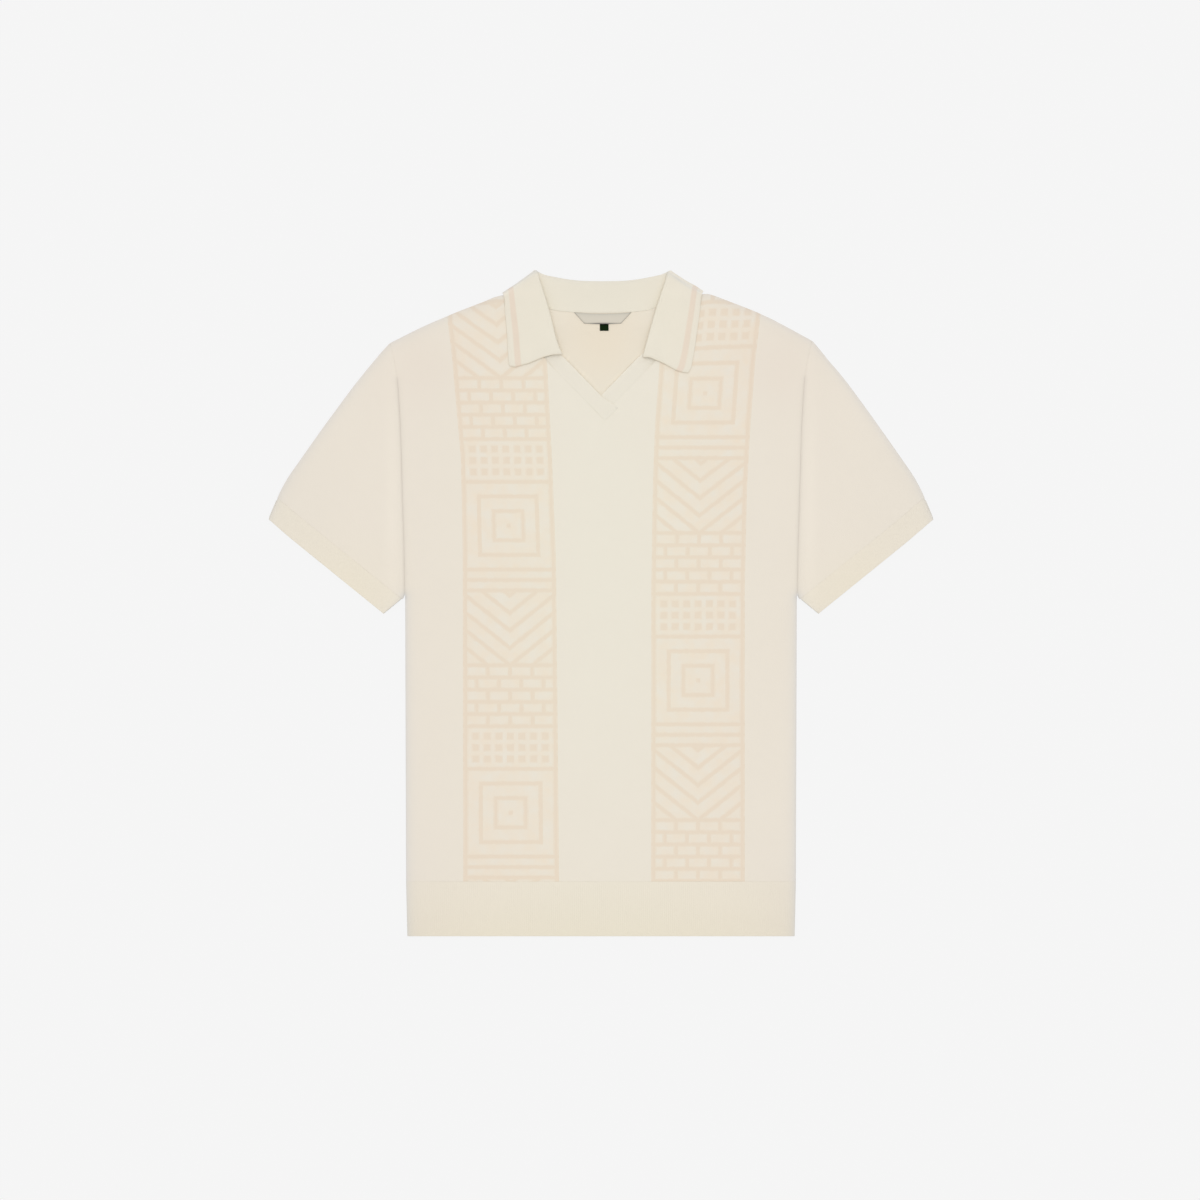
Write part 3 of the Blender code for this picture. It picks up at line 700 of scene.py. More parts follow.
@dataclass
class Sheet:
    """A sheet of cloth before it gets its wall.

    Each point has its thickness and relief, and each corner of each face its place on the flat cut.
    """

    points: Array
    faces: Array
    flat: Array
    wall: Array
    relief: Array

    @classmethod
    def of(cls, data: Array, around: Union[Array, None] = None) -> "Sheet":
        """A sheet from a lattice.

        Args:
            data: The lattice.
            around: For a tube whose columns close on themselves, the length once round each row.

        Returns:
            The sheet.
        """
        rows, columns = data.shape[:2]
        last = columns - 1 if around is None else columns
        r, c = np.meshgrid(np.arange(rows - 1), np.arange(last), indexing="ij")
        r, c = r.ravel(), c.ravel()
        corners = ((r, c), (r, c + 1), (r + 1, c + 1), (r + 1, c))
        faces = np.stack([i * columns + j % columns for i, j in corners], axis=1)
        flat = np.stack([data[i, j % columns, FLAT] for i, j in corners], axis=1)
        if around is not None:
            flat[..., 0] += np.stack([around[i] * (j >= columns) for i, j in corners], axis=1)
        values = data.reshape(-1, FIELDS)
        return cls(values[:, XYZ], faces, flat, values[:, WALL], values[:, RELIEF])

    def with_mirror(self) -> "Sheet":
        """Joins the sheet to its mirror image, where they meet at x = 0.

        Returns:
            The two as one sheet.
        """
        points = np.vstack([self.points, self.points * (-1, 1, 1)])
        faces = np.vstack([self.faces, self.faces[:, ::-1] + len(self.points)])
        flat = np.concatenate([self.flat, self.flat[:, ::-1] * (-1, 1)])
        rounded = points.round(JOIN_DECIMALS)
        _, first, index = np.unique(rounded, axis=0, return_index=True, return_inverse=True)
        again = np.concatenate([np.arange(len(self.points))] * 2)[first]
        return Sheet(points[first], index.reshape(-1)[faces], flat, self.wall[again], self.relief[again])

    def normals(self) -> Array:
        """The way out of the sheet at its points.

        Returns:
            One direction for each point.
        """
        a, b, c, d = (self.points[self.faces[:, k]] for k in range(4))
        across = np.cross(c - a, d - b)
        total = np.zeros_like(self.points)
        for k in range(4):
            np.add.at(total, self.faces[:, k], across)
        return unit(total)

    def facing(self, outward: Union[Array, tuple[int, int, int]]) -> "Sheet":
        """Turns the sheet's outer face the way that outward points on the whole.

        Args:
            outward: One direction, or one for each point.

        Returns:
            The sheet, turned over if it has to be.
        """
        if (self.normals() * outward).sum() >= 0:
            return self
        return Sheet(self.points, self.faces[:, ::-1], self.flat[:, ::-1], self.wall, self.relief)

    def edges(self) -> tuple[Array, Array]:
        """Finds the edges that only one face has.

        Returns:
            The face of each such edge, and the corner of that face where the edge starts.
        """
        start, end = self.faces, np.roll(self.faces, -1, axis=1)
        low, high = np.minimum(start, end).ravel(), np.maximum(start, end).ravel()
        pairs = low * len(self.points) + high
        _, index, count = np.unique(pairs, return_index=True, return_counts=True)
        return np.divmod(index[count == 1], 4)

    def piece(
        self, name: str, tint: OfPoints, band: OfPoints | None = None, inner_tint: OfPoints | None = None
    ) -> bpy.types.Object:
        """An object of the sheet with its wall and its edges closed.

        Args:
            name: The object's name.
            tint: The function from points to the tint of the cloth there: the light and shade painted into its colour.
            band: The function from points to places on the knitted bands, if it has them.
            inner_tint: The same as tint for the inner face, where that one differs.

        Returns:
            The object, linked to the scene.
        """
        total = len(self.points)
        middle = PULL(self.points)
        out = Sheet(middle, self.faces, self.flat, self.wall, self.relief).normals()
        outer = middle + out * (self.wall / 2 + self.relief)[:, None]
        inner = middle - out * (self.wall / 2)[:, None]
        face, corner = self.edges()
        after = (corner + 1) % 4
        a, b = self.faces[face, corner], self.faces[face, after]
        flat_a, flat_b = self.flat[face, corner], self.flat[face, after]
        rim = np.stack([b, a, a + total, b + total], 1)
        faces = np.vstack([self.faces, self.faces[:, ::-1] + total, rim])
        flat_rim = np.stack([flat_b, flat_a, flat_a, flat_b], 1)
        flat = np.concatenate([self.flat, self.flat[:, ::-1], flat_rim])
        mesh = bpy.data.meshes.new(name)
        mesh.from_pydata(np.vstack([outer, inner]).tolist(), [], faces.tolist())
        mesh.uv_layers.new(name="cloth").data.foreach_set("uv", flat.astype(np.float32).ravel())
        both = np.vstack([self.points, self.points])
        if band:
            pairs = band(both)[faces]
            mesh.uv_layers.new(name="band").data.foreach_set("uv", pairs.astype(np.float32).ravel())
        # The tint on the outer and the inner face: light and shade painted into the cloth's colour
        tints = [tint(self.points), (inner_tint or tint)(self.points)]
        colours = np.column_stack([np.vstack(tints), np.ones(len(both))])
        layer = mesh.color_attributes.new("tint", "FLOAT_COLOR", "POINT")
        layer.data.foreach_set("color", colours.astype(np.float32).ravel())
        mesh.shade_smooth()
        mesh.update()
        made = bpy.data.objects.new(name, mesh)
        bpy.context.scene.collection.objects.link(made)
        return made


# Finishes


def linear(hex_colour: str) -> tuple[float, float, float, float]:
    """An sRGB hex colour, such as "#EAE5D6", as linear red, green, blue and alpha."""
    channels = [int(hex_colour[k : k + 2], 16) / 255 for k in (1, 3, 5)]
    return (*[c / 12.92 if c <= 0.04045 else ((c + 0.055) / 1.055) ** 2.4 for c in channels], 1.0)


# The Mix node's sockets for colours: the share, the colours that are mixed, and what comes out
MIX_SHARE, MIX_FROM, MIX_TO, MIXED = 0, 6, 7, 2


class Graph:
    """The shader nodes of one material."""

    def __init__(self, name: str) -> None:
        """Starts an empty material.

        Args:
            name: The material's name.
        """
        self.material = bpy.data.materials.new(name)
        self.material.use_nodes = True
        self.tree = self.material.node_tree
        self.tree.nodes.clear()

    def add(
        self,
        kind: str,
        inputs: dict[Union[int, str], Value],
        output: Union[int, str] = 0,
        **settings: object,
    ) -> bpy.types.NodeSocket:
        """Adds a node with its settings and links.

        Args:
            kind: The node's type, without the ShaderNode before it.
            inputs: What each input gets: another node's output, a plain value, or a sum to be worked
                out first, as a tuple of the Math node's operation and its values.
            output: The output that is wanted.
            settings: The node's own options.

        Returns:
            That output.
        """
        node = self.tree.nodes.new("ShaderNode" + kind)
        for option, choice in settings.items():
            setattr(node, option, choice)
        for key, value in inputs.items():
            if isinstance(value, tuple) and isinstance(value[0], str):
                value = self.add("Math", dict(enumerate(value[1:])), operation=value[0])
            if isinstance(value, bpy.types.NodeSocket):
                self.tree.links.new(value, node.inputs[key])
            else:
                node.inputs[key].default_value = value
        return node.outputs[output]

    def tinted(self, colour: bpy.types.NodeSocket) -> bpy.types.NodeSocket:
        """Changes a colour by the piece's tint: the light and shade painted into it.

        Args:
            colour: The colour.

        Returns:
            The tinted colour.
        """
        tint = self.add("Attribute", {}, "Color", attribute_name="tint")
        inputs = {MIX_SHARE: 1.0, MIX_FROM: colour, MIX_TO: tint}
        return self.add("Mix", inputs, MIXED, data_type="RGBA", blend_type="MULTIPLY")

    def finish(self, surface: bpy.types.NodeSocket) -> bpy.types.Material:
        """Ends the material.

        Args:
            surface: The shader of its surface.

        Returns:
            The material.
        """
        output = self.tree.nodes.new("ShaderNodeOutputMaterial")
        self.tree.links.new(surface, output.inputs["Surface"])
        return self.material


class Colouring(Enum):
    """How yarns of more than one colour are knitted in."""

    PLAIN = "plain"
    TIPPED = "tipped"
    BANDED = "banded"


class Motif(Enum):
    """The knitted figures of the front's bands."""

    CHEVRONS = "chevrons"
    CHECKS = "checks"
    FRAMES = "frames"
    BRICKS = "bricks"
    BARS = "bars"


# The figures from the hem up, in one repeat of the bands: figure, height in millimetres
BAND_LAYOUT = (
    (Motif.BRICKS, 70.0),
    (Motif.CHEVRONS, 86.0),
    (Motif.BARS, 24.0),
    (Motif.FRAMES, 100.8),
    (Motif.CHECKS, 49.0),
)
BAND_REPEAT_MM = sum(height for _, height in BAND_LAYOUT)
# Half a band's width, the width of its knitted lines, and how far into the repeat the right one starts
BAND_HALF_MM = 53.0
BAND_LINE_MM = 4.6
BAND_SHIFT_MM = 152.0
# Half of what each figure repeats by, in millimetres: up the band, and across it where that differs
CHEVRON_HALF, CHECK_HALF, FRAME_HALF, BRICK_HALF, BAR_HALF = 10.0, 6.55, 8.4, 7.0, 6.0
BRICK_HALF_LENGTH = 12.65
# Half the width of a check, without the line round it
CHECK_CORE = 1.7
# How steep a chevron is, and the share of a height that is left as the distance from its line
CHEVRON_SLOPE, CHEVRON_LEAN = 0.8, 0.78
# Further away than any line of a figure
FAR_MM = 100.0


def motif_distance(motif: Motif, x: Value, y: Value, height: float) -> tuple:
    """The sum for how far a place is from the nearest line of a figure, in millimetres.

    Args:
        motif: The figure.
        x: The place across the band, from its middle line.
        y: The place up from the bottom of the figure.
        height: The figure's height.

    Returns:
        The sum, for Graph.add.
    """
    if motif is Motif.CHEVRONS:
        slanted = ("SUBTRACT", y, ("MULTIPLY", ("ABSOLUTE", x), CHEVRON_SLOPE))
        return ("MULTIPLY", ("PINGPONG", slanted, CHEVRON_HALF), CHEVRON_LEAN)
    if motif is Motif.CHECKS:
        up = ("PINGPONG", ("SUBTRACT", y, height / 2), CHECK_HALF)
        return ("SUBTRACT", ("MAXIMUM", ("PINGPONG", x, CHECK_HALF), up), CHECK_CORE)
    if motif is Motif.FRAMES:
        up = ("ABSOLUTE", ("SUBTRACT", y, height / 2))
        return ("PINGPONG", ("MAXIMUM", ("ABSOLUTE", x), up), FRAME_HALF)
    if motif is Motif.BRICKS:
        row = ("FLOOR", ("DIVIDE", y, 2 * BRICK_HALF))
        shifted = ("ADD", x, ("MULTIPLY", row, BRICK_HALF_LENGTH))
        return ("MINIMUM", ("PINGPONG", y, BRICK_HALF), ("PINGPONG", shifted, BRICK_HALF_LENGTH))
    return ("PINGPONG", y, BAR_HALF)


@dataclass(frozen=True)
class Knit:
    """Fine-gauge cotton knit: matt, with rows of small V-shaped stitches that catch a soft light.

    Its real wales are about 1 mm apart, which is too fine to show, so they are drawn coarser.
    """

    name: str
    yarn: str = "#EEE8DA"
    dull_yarn: str = "#DFD6C4"
    # The colour of the painted shade in the gaps between stitches, mixed in by stitch_shade
    gap_yarn: str = "#8C7F68"
    second_yarn: str = "#EBDECA"
    cell_yarn: str = "#F0E3CE"
    colouring: Colouring = Colouring.PLAIN
    wale_mm: float = 1.6
    course_mm: float = 1.25
    stitch_slant: float = 1.8
    leg_fall: float = 1.3
    groove_rise: float = 7.0
    stitch_shade: float = 0.06
    stitch_height: float = 0.00012
    blotch_mm: float = MM / 14
    blotch_share: float = 0.10
    fuzz_mm: float = MM / 2400
    fuzz_height: float = 0.35
    stripe_mm: Place = (7.2, 14.4)
    yarn_blend_mm: float = 1.9
    wobble_mm: float = 6.25
    unevenness_mm: float = 2.2
    patch_mm: float = MM / 60
    patch_gain: float = 1.6
    patch_floor: float = 0.45
    roughness: float = 0.92
    specular: float = 0.25
    sheen: float = 0.10
    sheen_roughness: float = 0.55

    def stitches(self, graph: Graph, u: Value, v: Value) -> bpy.types.NodeSocket:
        """Draws the stitches: the two legs of each V lean, and a groove parts one wale from the next.

        Args:
            graph: The material's nodes.
            u: The place along a course, in metres.
            v: The place along a wale.

        Returns:
            The stitches' height, from 0 in the gaps between them to 1.
        """
        x = ("MULTIPLY", u, MM / self.wale_mm)
        y = ("MULTIPLY", v, MM / self.course_mm)
        slant = ("MULTIPLY_ADD", ("PINGPONG", x, 0.5), self.stitch_slant, y)
        leg = ("MULTIPLY_ADD", ("PINGPONG", slant, 0.5), -self.leg_fall, 1.0)
        side = ("MINIMUM", ("MULTIPLY", ("PINGPONG", x, 0.25), self.groove_rise), 1.0)
        return graph.add("Math", {0: leg, 1: side}, operation="MULTIPLY")

    def line(self, graph: Graph, half: Value, away: Value) -> bpy.types.NodeSocket:
        """How far a second yarn shows in a line, from its half width and the distance to its middle."""
        share = ("DIVIDE", ("SUBTRACT", half, away), self.yarn_blend_mm)
        return graph.add("Math", {0: share, 1: 0.5}, operation="ADD", use_clamp=True)

    def band_mask(self, graph: Graph) -> tuple[bpy.types.NodeSocket, bpy.types.NodeSocket]:
        """Draws the front's bands.

        Between their lines the second yarn lies behind, and shows through more in some places.

        Args:
            graph: The material's nodes.

        Returns:
            How far the second yarn shows, from 0 to 1: in the bands' lines, and between them.
        """
        places = graph.add("UVMap", {}, uv_map="band")
        split = graph.add("SeparateXYZ", {0: places}).node
        cloth = graph.add("SeparateXYZ", {0: graph.add("UVMap", {}, uv_map="cloth")})
        x = graph.add("Math", {0: ("MULTIPLY", split.outputs[0], MM), 1: self.wale_mm}, operation="SNAP")
        right = graph.add("Math", {0: cloth, 1: 0.0}, operation="LESS_THAN")
        up = ("MULTIPLY_ADD", right, BAND_SHIFT_MM, ("MULTIPLY", split.outputs[1], MM))
        snapped = graph.add("Math", {0: up, 1: self.course_mm}, operation="SNAP")
        y = graph.add("Math", {0: snapped, 1: BAND_REPEAT_MM}, operation="FLOORED_MODULO")
        nearest: Value = FAR_MM
        bottom = 0.0
        for motif, height in BAND_LAYOUT:
            above = ("SUBTRACT", y, bottom)
            outside = ("ABSOLUTE", ("SUBTRACT", above, height / 2))
            far = ("MULTIPLY", ("GREATER_THAN", outside, height / 2), FAR_MM)
            figure = ("ADD", motif_distance(motif, x, above, height), far)
            ends = ("ABSOLUTE", ("SUBTRACT", outside, height / 2))
            closer = ("MINIMUM", figure, ends)
            nearest = graph.add("Math", {0: nearest, 1: closer}, operation="MINIMUM")
            bottom += height
        away = graph.add("Math", {0: x}, operation="ABSOLUTE")
        border = ("ABSOLUTE", ("SUBTRACT", away, BAND_HALF_MM - BAND_LINE_MM / 2))
        nearest = graph.add("Math", {0: nearest, 1: border}, operation="MINIMUM")
        inside = graph.add("Math", {0: away, 1: BAND_HALF_MM}, operation="LESS_THAN")
        wobble, patches = (
            graph.add("TexNoise", {"Vector": places, "Scale": MM / size, "Detail": 2.0}, "Fac")
            for size in (self.wobble_mm, self.patch_mm)
        )
        half = ("MULTIPLY_ADD", wobble, self.unevenness_mm, (BAND_LINE_MM - self.unevenness_mm) / 2)
        line = self.line(graph, half, nearest)
        cell = ("MULTIPLY_ADD", patches, self.patch_gain, -self.patch_floor)
        return (
            graph.add("Math", {0: line, 1: inside}, operation="MULTIPLY"),
            graph.add("Math", {0: cell, 1: inside}, operation="MULTIPLY", use_clamp=True),
        )

    def material(self) -> bpy.types.Material:
        """Makes the knit, its stitches placed by the map of the flat cut.

        Returns:
            The material.
        """
        graph = Graph(self.name)
        cloth = graph.add("UVMap", {}, uv_map="cloth")
        u, v = graph.add("SeparateXYZ", {0: cloth}).node.outputs[:2]
        noise = {"Vector": cloth, "Scale": MM / self.blotch_mm, "Detail": 3.0}
        blotch = ("MULTIPLY", graph.add("TexNoise", noise, "Fac"), self.blotch_share)
        layers: list[tuple[Value, str]] = [(blotch, self.dull_yarn)]
        if self.colouring is Colouring.TIPPED:
            low, high = self.stripe_mm
            away = ("ABSOLUTE", ("MULTIPLY_ADD", v, MM, -(low + high) / 2))
            layers.append((self.line(graph, (high - low) / 2, away), self.second_yarn))
        if self.colouring is Colouring.BANDED:
            line, cell = self.band_mask(graph)
            layers += [(cell, self.cell_yarn), (line, self.second_yarn)]
        height = self.stitches(graph, u, v)
        # Painted shade in the gaps between the stitches
        layers.append((("MULTIPLY", ("SUBTRACT", 1.0, height), self.stitch_shade), self.gap_yarn))
        colour: Value = linear(self.yarn)
        for share, yarn in layers:
            inputs = {MIX_SHARE: share, MIX_FROM: colour, MIX_TO: linear(yarn)}
            colour = graph.add("Mix", inputs, MIXED, data_type="RGBA")
        noise = {"Vector": cloth, "Scale": MM / self.fuzz_mm, "Detail": 2.0}
        relief = ("MULTIPLY_ADD", graph.add("TexNoise", noise, "Fac"), self.fuzz_height, height)
        normal = graph.add("Bump", {"Height": relief, "Distance": self.stitch_height}, "Normal")
        surface = graph.add(
            "BsdfPrincipled",
            {
                "Base Color": graph.tinted(colour),
                "Roughness": self.roughness,
                "Specular IOR Level": self.specular,
                "Sheen Weight": self.sheen,
                "Sheen Roughness": self.sheen_roughness,
                "Normal": normal,
            },
        )
        return graph.finish(surface)


@dataclass(frozen=True)
class WovenTape:
    """Damask label or tape of polyester satin: flat and fine, with a slight gloss across its threads.

    Its real threads are half as wide, which is too fine to show, so they are drawn coarser.
    """

    name: str
    # The face's colour, and the colour of the painted shade in the gaps between threads
    face: str
    gaps: str
    thread_mm: float = 0.5
    thread_height: float = 0.00006
    weft_share: float = 0.5
    gap_shade: float = 0.3
    roughness: float = 0.55
    gloss: float = 0.4

    def material(self) -> bpy.types.Material:
        """Makes the tape, its threads placed by the map of the flat cut.

        Returns:
            The material.
        """
        graph = Graph(self.name)
        cloth = graph.add("UVMap", {}, uv_map="cloth")
        warp, weft = (
            ("PINGPONG", ("MULTIPLY", place, MM / self.thread_mm), 0.5)
            for place in graph.add("SeparateXYZ", {0: cloth}).node.outputs[:2]
        )
        height = graph.add("Math", {0: warp, 1: ("MULTIPLY", weft, self.weft_share)}, operation="ADD")
        highest = (1.0 + self.weft_share) / 2
        # Painted shade in the gaps between the threads
        shade = ("MULTIPLY", ("SUBTRACT", highest, height), self.gap_shade)
        inputs = {MIX_SHARE: shade, MIX_FROM: linear(self.face), MIX_TO: linear(self.gaps)}
        colour = graph.add("Mix", inputs, MIXED, data_type="RGBA")
        normal = graph.add("Bump", {"Height": height, "Distance": self.thread_height}, "Normal")
        surface = graph.add(
            "BsdfPrincipled",
            {
                "Base Color": graph.tinted(colour),
                "Roughness": self.roughness,
                "Specular IOR Level": self.gloss,
                "Normal": normal,
            },
        )
        return graph.finish(surface)


# The finishes

# Combed cotton knitted in plain jersey and washed: matt and even, with a soft bloom at a low angle
BODY_KNIT = Knit("body_cotton_knit")
SLEEVE_KNIT = Knit("sleeve_cotton_knit")
# The same jersey with a second yarn knitted in: two bands a shade warmer, their lines a little fuzzy
FRONT_KNIT = Knit("front_cotton_jacquard_knit", colouring=Colouring.BANDED)
# Cotton knitted in rib: a shade warmer, since its ribs, which the meshes have, pass light to each other
RIB_KNIT = Knit("cotton_rib_knit", yarn="#EEE8D8")
# Cotton knitted denser, so smoother than the body, with one stripe of the second yarn near the edge
COLLAR_KNIT = Knit(
    "collar_cotton_knit", second_yarn="#EBDDCD", colouring=Colouring.TIPPED, wale_mm=1.3, course_mm=1.0
)
# The same knit without the stripe: as smooth as the collar, so that only its edges show on the front
TRIM_KNIT = Knit("trim_cotton_knit", wale_mm=1.3, course_mm=1.0)
# Polyester woven in satin: smoother than the cotton, and a deeper beige
LABEL_WEAVE = WovenTape("label_polyester_satin", "#D9D1C3", "#A39A8C", gloss=0.2)
# The same tape dyed dark green, which leaves almost no gloss
TAB_WEAVE = WovenTape("tab_polyester_satin", "#142610", "#0A1407", roughness=0.8, gloss=0.03)


# Painted light and shade in the cloth's colour, and where the front's bands run

# What turns a share of a displayed level into a share of light
DISPLAY_GAMMA = 2.2


class Shade(NamedTuple):
    """A soft patch on both halves of the shirt where light and shade are painted a little into the cloth's colour.

    Its levels are what it adds to red, green and blue, of 255.
    """

    place: Place
    reach: Place
    levels: tuple[float, float, float]


class Rim(NamedTuple):
    """A fold, seam or edge on both halves along which shade is painted into the cloth's colour, and light where the
    levels are above 0.
    """

    line: Sequence[Place]
    reach: float
    levels: tuple[float, float, float]


@dataclass(frozen=True)
class Tone:
    """Light and shade painted into the cloth's colour over a piece, and beside its folds, seams and edges."""

    shades: tuple[Shade, ...] = ()
    rims: tuple[Rim, ...] = ()
    middle: float = 0.0
    ground: tuple[float, float, float] = (0.1, -2.4, -1.9)
    pale: float = 230.0

    def __call__(self, points: Array) -> Array:
        """Paints light and shade into the cloth's colour.

        Args:
            points: Points of the cloth.

        Returns:
            The tint at each point, as linear factors of red, green and blue.
        """
        places = np.column_stack([np.abs(points[:, 0] - self.middle), points[:, 1]])
        levels = np.tile(np.array(self.ground), (len(points), 1))
        for shade in self.shades:
            away = (places - np.array(shade.place)) / np.array(shade.reach)
            levels += np.exp(-(away**2).sum(axis=1))[:, None] * np.array(shade.levels)
        for rim in self.rims:
            away = nearest_on(places, np.array(rim.line))[0]
            levels += np.exp(-away / rim.reach)[:, None] * np.array(rim.levels)
        return (1.0 + levels / self.pale) ** DISPLAY_GAMMA


CUT = Cut()
PULL = Pull(CUT)
# Painted light on the middle of the shirt, the V's edge, and painted shade beside the folds and seams that end the
# shirt all round
LIT_MIDDLE = Shade((0.0, 0.080), (0.130, 0.420), (0.7, 3.9, 2.5))
V_EDGE = (CUT.v_point, CUT.v_top)
FOLD_SHADES = (
    Rim(CUT.lower_edge()[:3], 0.0042, (-17.0, -12.0, -2.5)),
    Rim(CUT.lower_edge()[2:], 0.0025, (-8.0, -6.0, -2.5)),
    Rim(CUT.upper_edge(), 0.0040, (-12.0, -9.0, -2.5)),
)
# The front, hem, sleeves and cuffs: painted shade, darker and yellower, towards the hem, at its corners, the
# shoulders' corners and the sleeves' outer parts; a little yellower low on the sleeves; a painted highlight on the
# sleeves beside the armhole; painted shade along the armhole seam
FRONT_TONE = Tone(
    (
        LIT_MIDDLE,
        Shade((0.0, -0.400), (0.400, 0.060), (-2.0, -2.3, -6.6)),
        Shade((0.235, -0.385), (0.060, 0.080), (-4.0, -4.2, -2.8)),
        Shade((0.205, 0.270), (0.045, 0.045), (-1.4, -3.0, -3.0)),
        Shade((0.375, 0.130), (0.070, 0.110), (-2.0, -1.5, -1.0)),
        Shade((0.300, 0.010), (0.060, 0.050), (0.6, 0.4, -2.6)),
        Shade((0.240, 0.120), (0.008, 0.130), (3.0, 3.0, 3.0)),
    ),
    (*FOLD_SHADES, Rim(CUT.armhole[:5], 0.0016, (-14.0, -14.0, -13.0))),
)
# The back's outer face: the painted light in the middle and painted shade at the folds
BACK_TONE = Tone((LIT_MIDDLE,), FOLD_SHADES)
# The back's inner face: painted light in the middle, painted shade deeper and yellower inside the neck, painted shade
# at the folds, and painted light beside the V's edge where the trims' edges shade it
INSIDE_TONE = Tone(
    (LIT_MIDDLE, Shade((0.0, 0.310), (0.060, 0.075), (0.0, -5.1, -10.9))),
    (*FOLD_SHADES, Rim(V_EDGE, 0.0014, (9.0, 8.0, 7.0))),
)
# The trims: the front's patches, a small painted shadow at the corner of the lapping end, and painted light along the
# V's edge that lightens the shade there
TRIM_TONE = Tone(
    (*FRONT_TONE.shades, Shade((0.0195, 0.2252), (0.0030, 0.0014), (-12.0, -12.0, -11.0))),
    (Rim(V_EDGE, 0.0010, (6.0, 6.0, 6.0)),),
)
# The collar: a little darker on the stand and lighter on the fall, a painted highlight where the fall slopes over the
# shoulder, and painted shade along its top edge at the shoulder and across the back
COLLAR_TONE = Tone(
    (
        LIT_MIDDLE,
        Shade((0.0, 0.355), (0.075, 0.030), (-1.6, -1.3, -3.0)),
        Shade((0.085, 0.310), (0.050, 0.080), (2.0, 2.3, 0.0)),
        Shade((0.092, 0.357), (0.022, 0.008), (2.0, 2.0, 2.0)),
    ),
    (
        Rim(((0.0735, 0.3821), (0.1131, 0.3540)), 0.0016, (-16.0, -12.0, -4.0)),
        Rim(
            ((0.0, 0.3704), (0.0290, 0.3713), (0.0538, 0.3752), (0.0735, 0.3818)),
            0.0016,
            (-9.0, -7.0, -3.0),
        ),
    ),
)
# The label and tab: a dark painted shadow at the middle of the label's lower edge and the tab's top, painted shadow
# lines along the slanted ends and the lower edge, and painted shade along the top edge
LABEL_TONE = Tone(
    (Shade((0.0018, 0.3210), (0.0120, 0.0012), (-105.0, -105.0, -100.0)),),
    (
        Rim(((0.0330, 0.3345), (0.0212, 0.3217)), 0.0005, (-60.0, -60.0, -60.0)),
        Rim(((0.0212, 0.3217), (0.0110, 0.3212), (0.0, 0.3210)), 0.0005, (-50.0, -50.0, -50.0)),
        Rim(((0.0330, 0.3345), (0.0170, 0.3333), (0.0, 0.3329)), 0.0016, (-24.0, -21.0, -18.0)),
    ),
    middle=0.0019,
    ground=(0.0, 1.0, 0.0),
)


class BandEdges(NamedTuple):
    """The two edges of a band of the front at some heights: y, inner edge and outer edge."""

    y: tuple[float, ...]
    inner: tuple[float, ...]
    outer: tuple[float, ...]


RIGHT_BAND = BandEdges(
    (-0.3194, 0.050, 0.165, 0.280, 0.325),
    (0.0495, 0.0530, 0.0575, 0.0635, 0.0660),
    (0.1585, 0.1590, 0.1610, 0.1710, 0.1765),
)
LEFT_BAND = BandEdges(
    (-0.3194, 0.020, 0.135, 0.205, 0.272, 0.332),
    (0.0590, 0.0592, 0.0610, 0.0635, 0.0685, 0.0740),
    (0.1655, 0.1655, 0.1680, 0.1720, 0.1770, 0.1845),
)


def band_map(points: Array) -> Array:
    """Finds places on the front's bands.

    Args:
        points: Points of the front.

    Returns:
        Each place across a band, from its middle line inwards, and up from the hem.
    """
    x, y = points[:, 0], points[:, 1]
    across = np.zeros(len(points))
    for edges, chosen in ((RIGHT_BAND, x < 0), (LEFT_BAND, x >= 0)):
        inner = np.interp(y, edges.y, edges.inner)
        outer = np.interp(y, edges.y, edges.outer)
        share = ((inner + outer) / 2 - np.abs(x)) / (outer - inner)
        across = np.where(chosen, share * 2 * BAND_HALF_MM / MM, across)
    return np.column_stack([across, y - RIGHT_BAND.y[0]])


# The pieces


class Hold(Enum):
    """How a sheet of cloth is held."""

    LAID = "laid"
    FOLDED = "folded"


class Dressed(NamedTuple):
    """A piece with its finish, the solid and slot that it stands for, and how and on what it lies.

    A piece without a hold of its own goes with another one.
    """

    piece: bpy.types.Object
    finish: Union[Knit, WovenTape]
    node: str
    slot: str
    hold: Union[Hold, None] = Hold.LAID
    rests_on: tuple[str, ...] = ()
    with_pieces: tuple[bpy.types.Object, ...] = ()


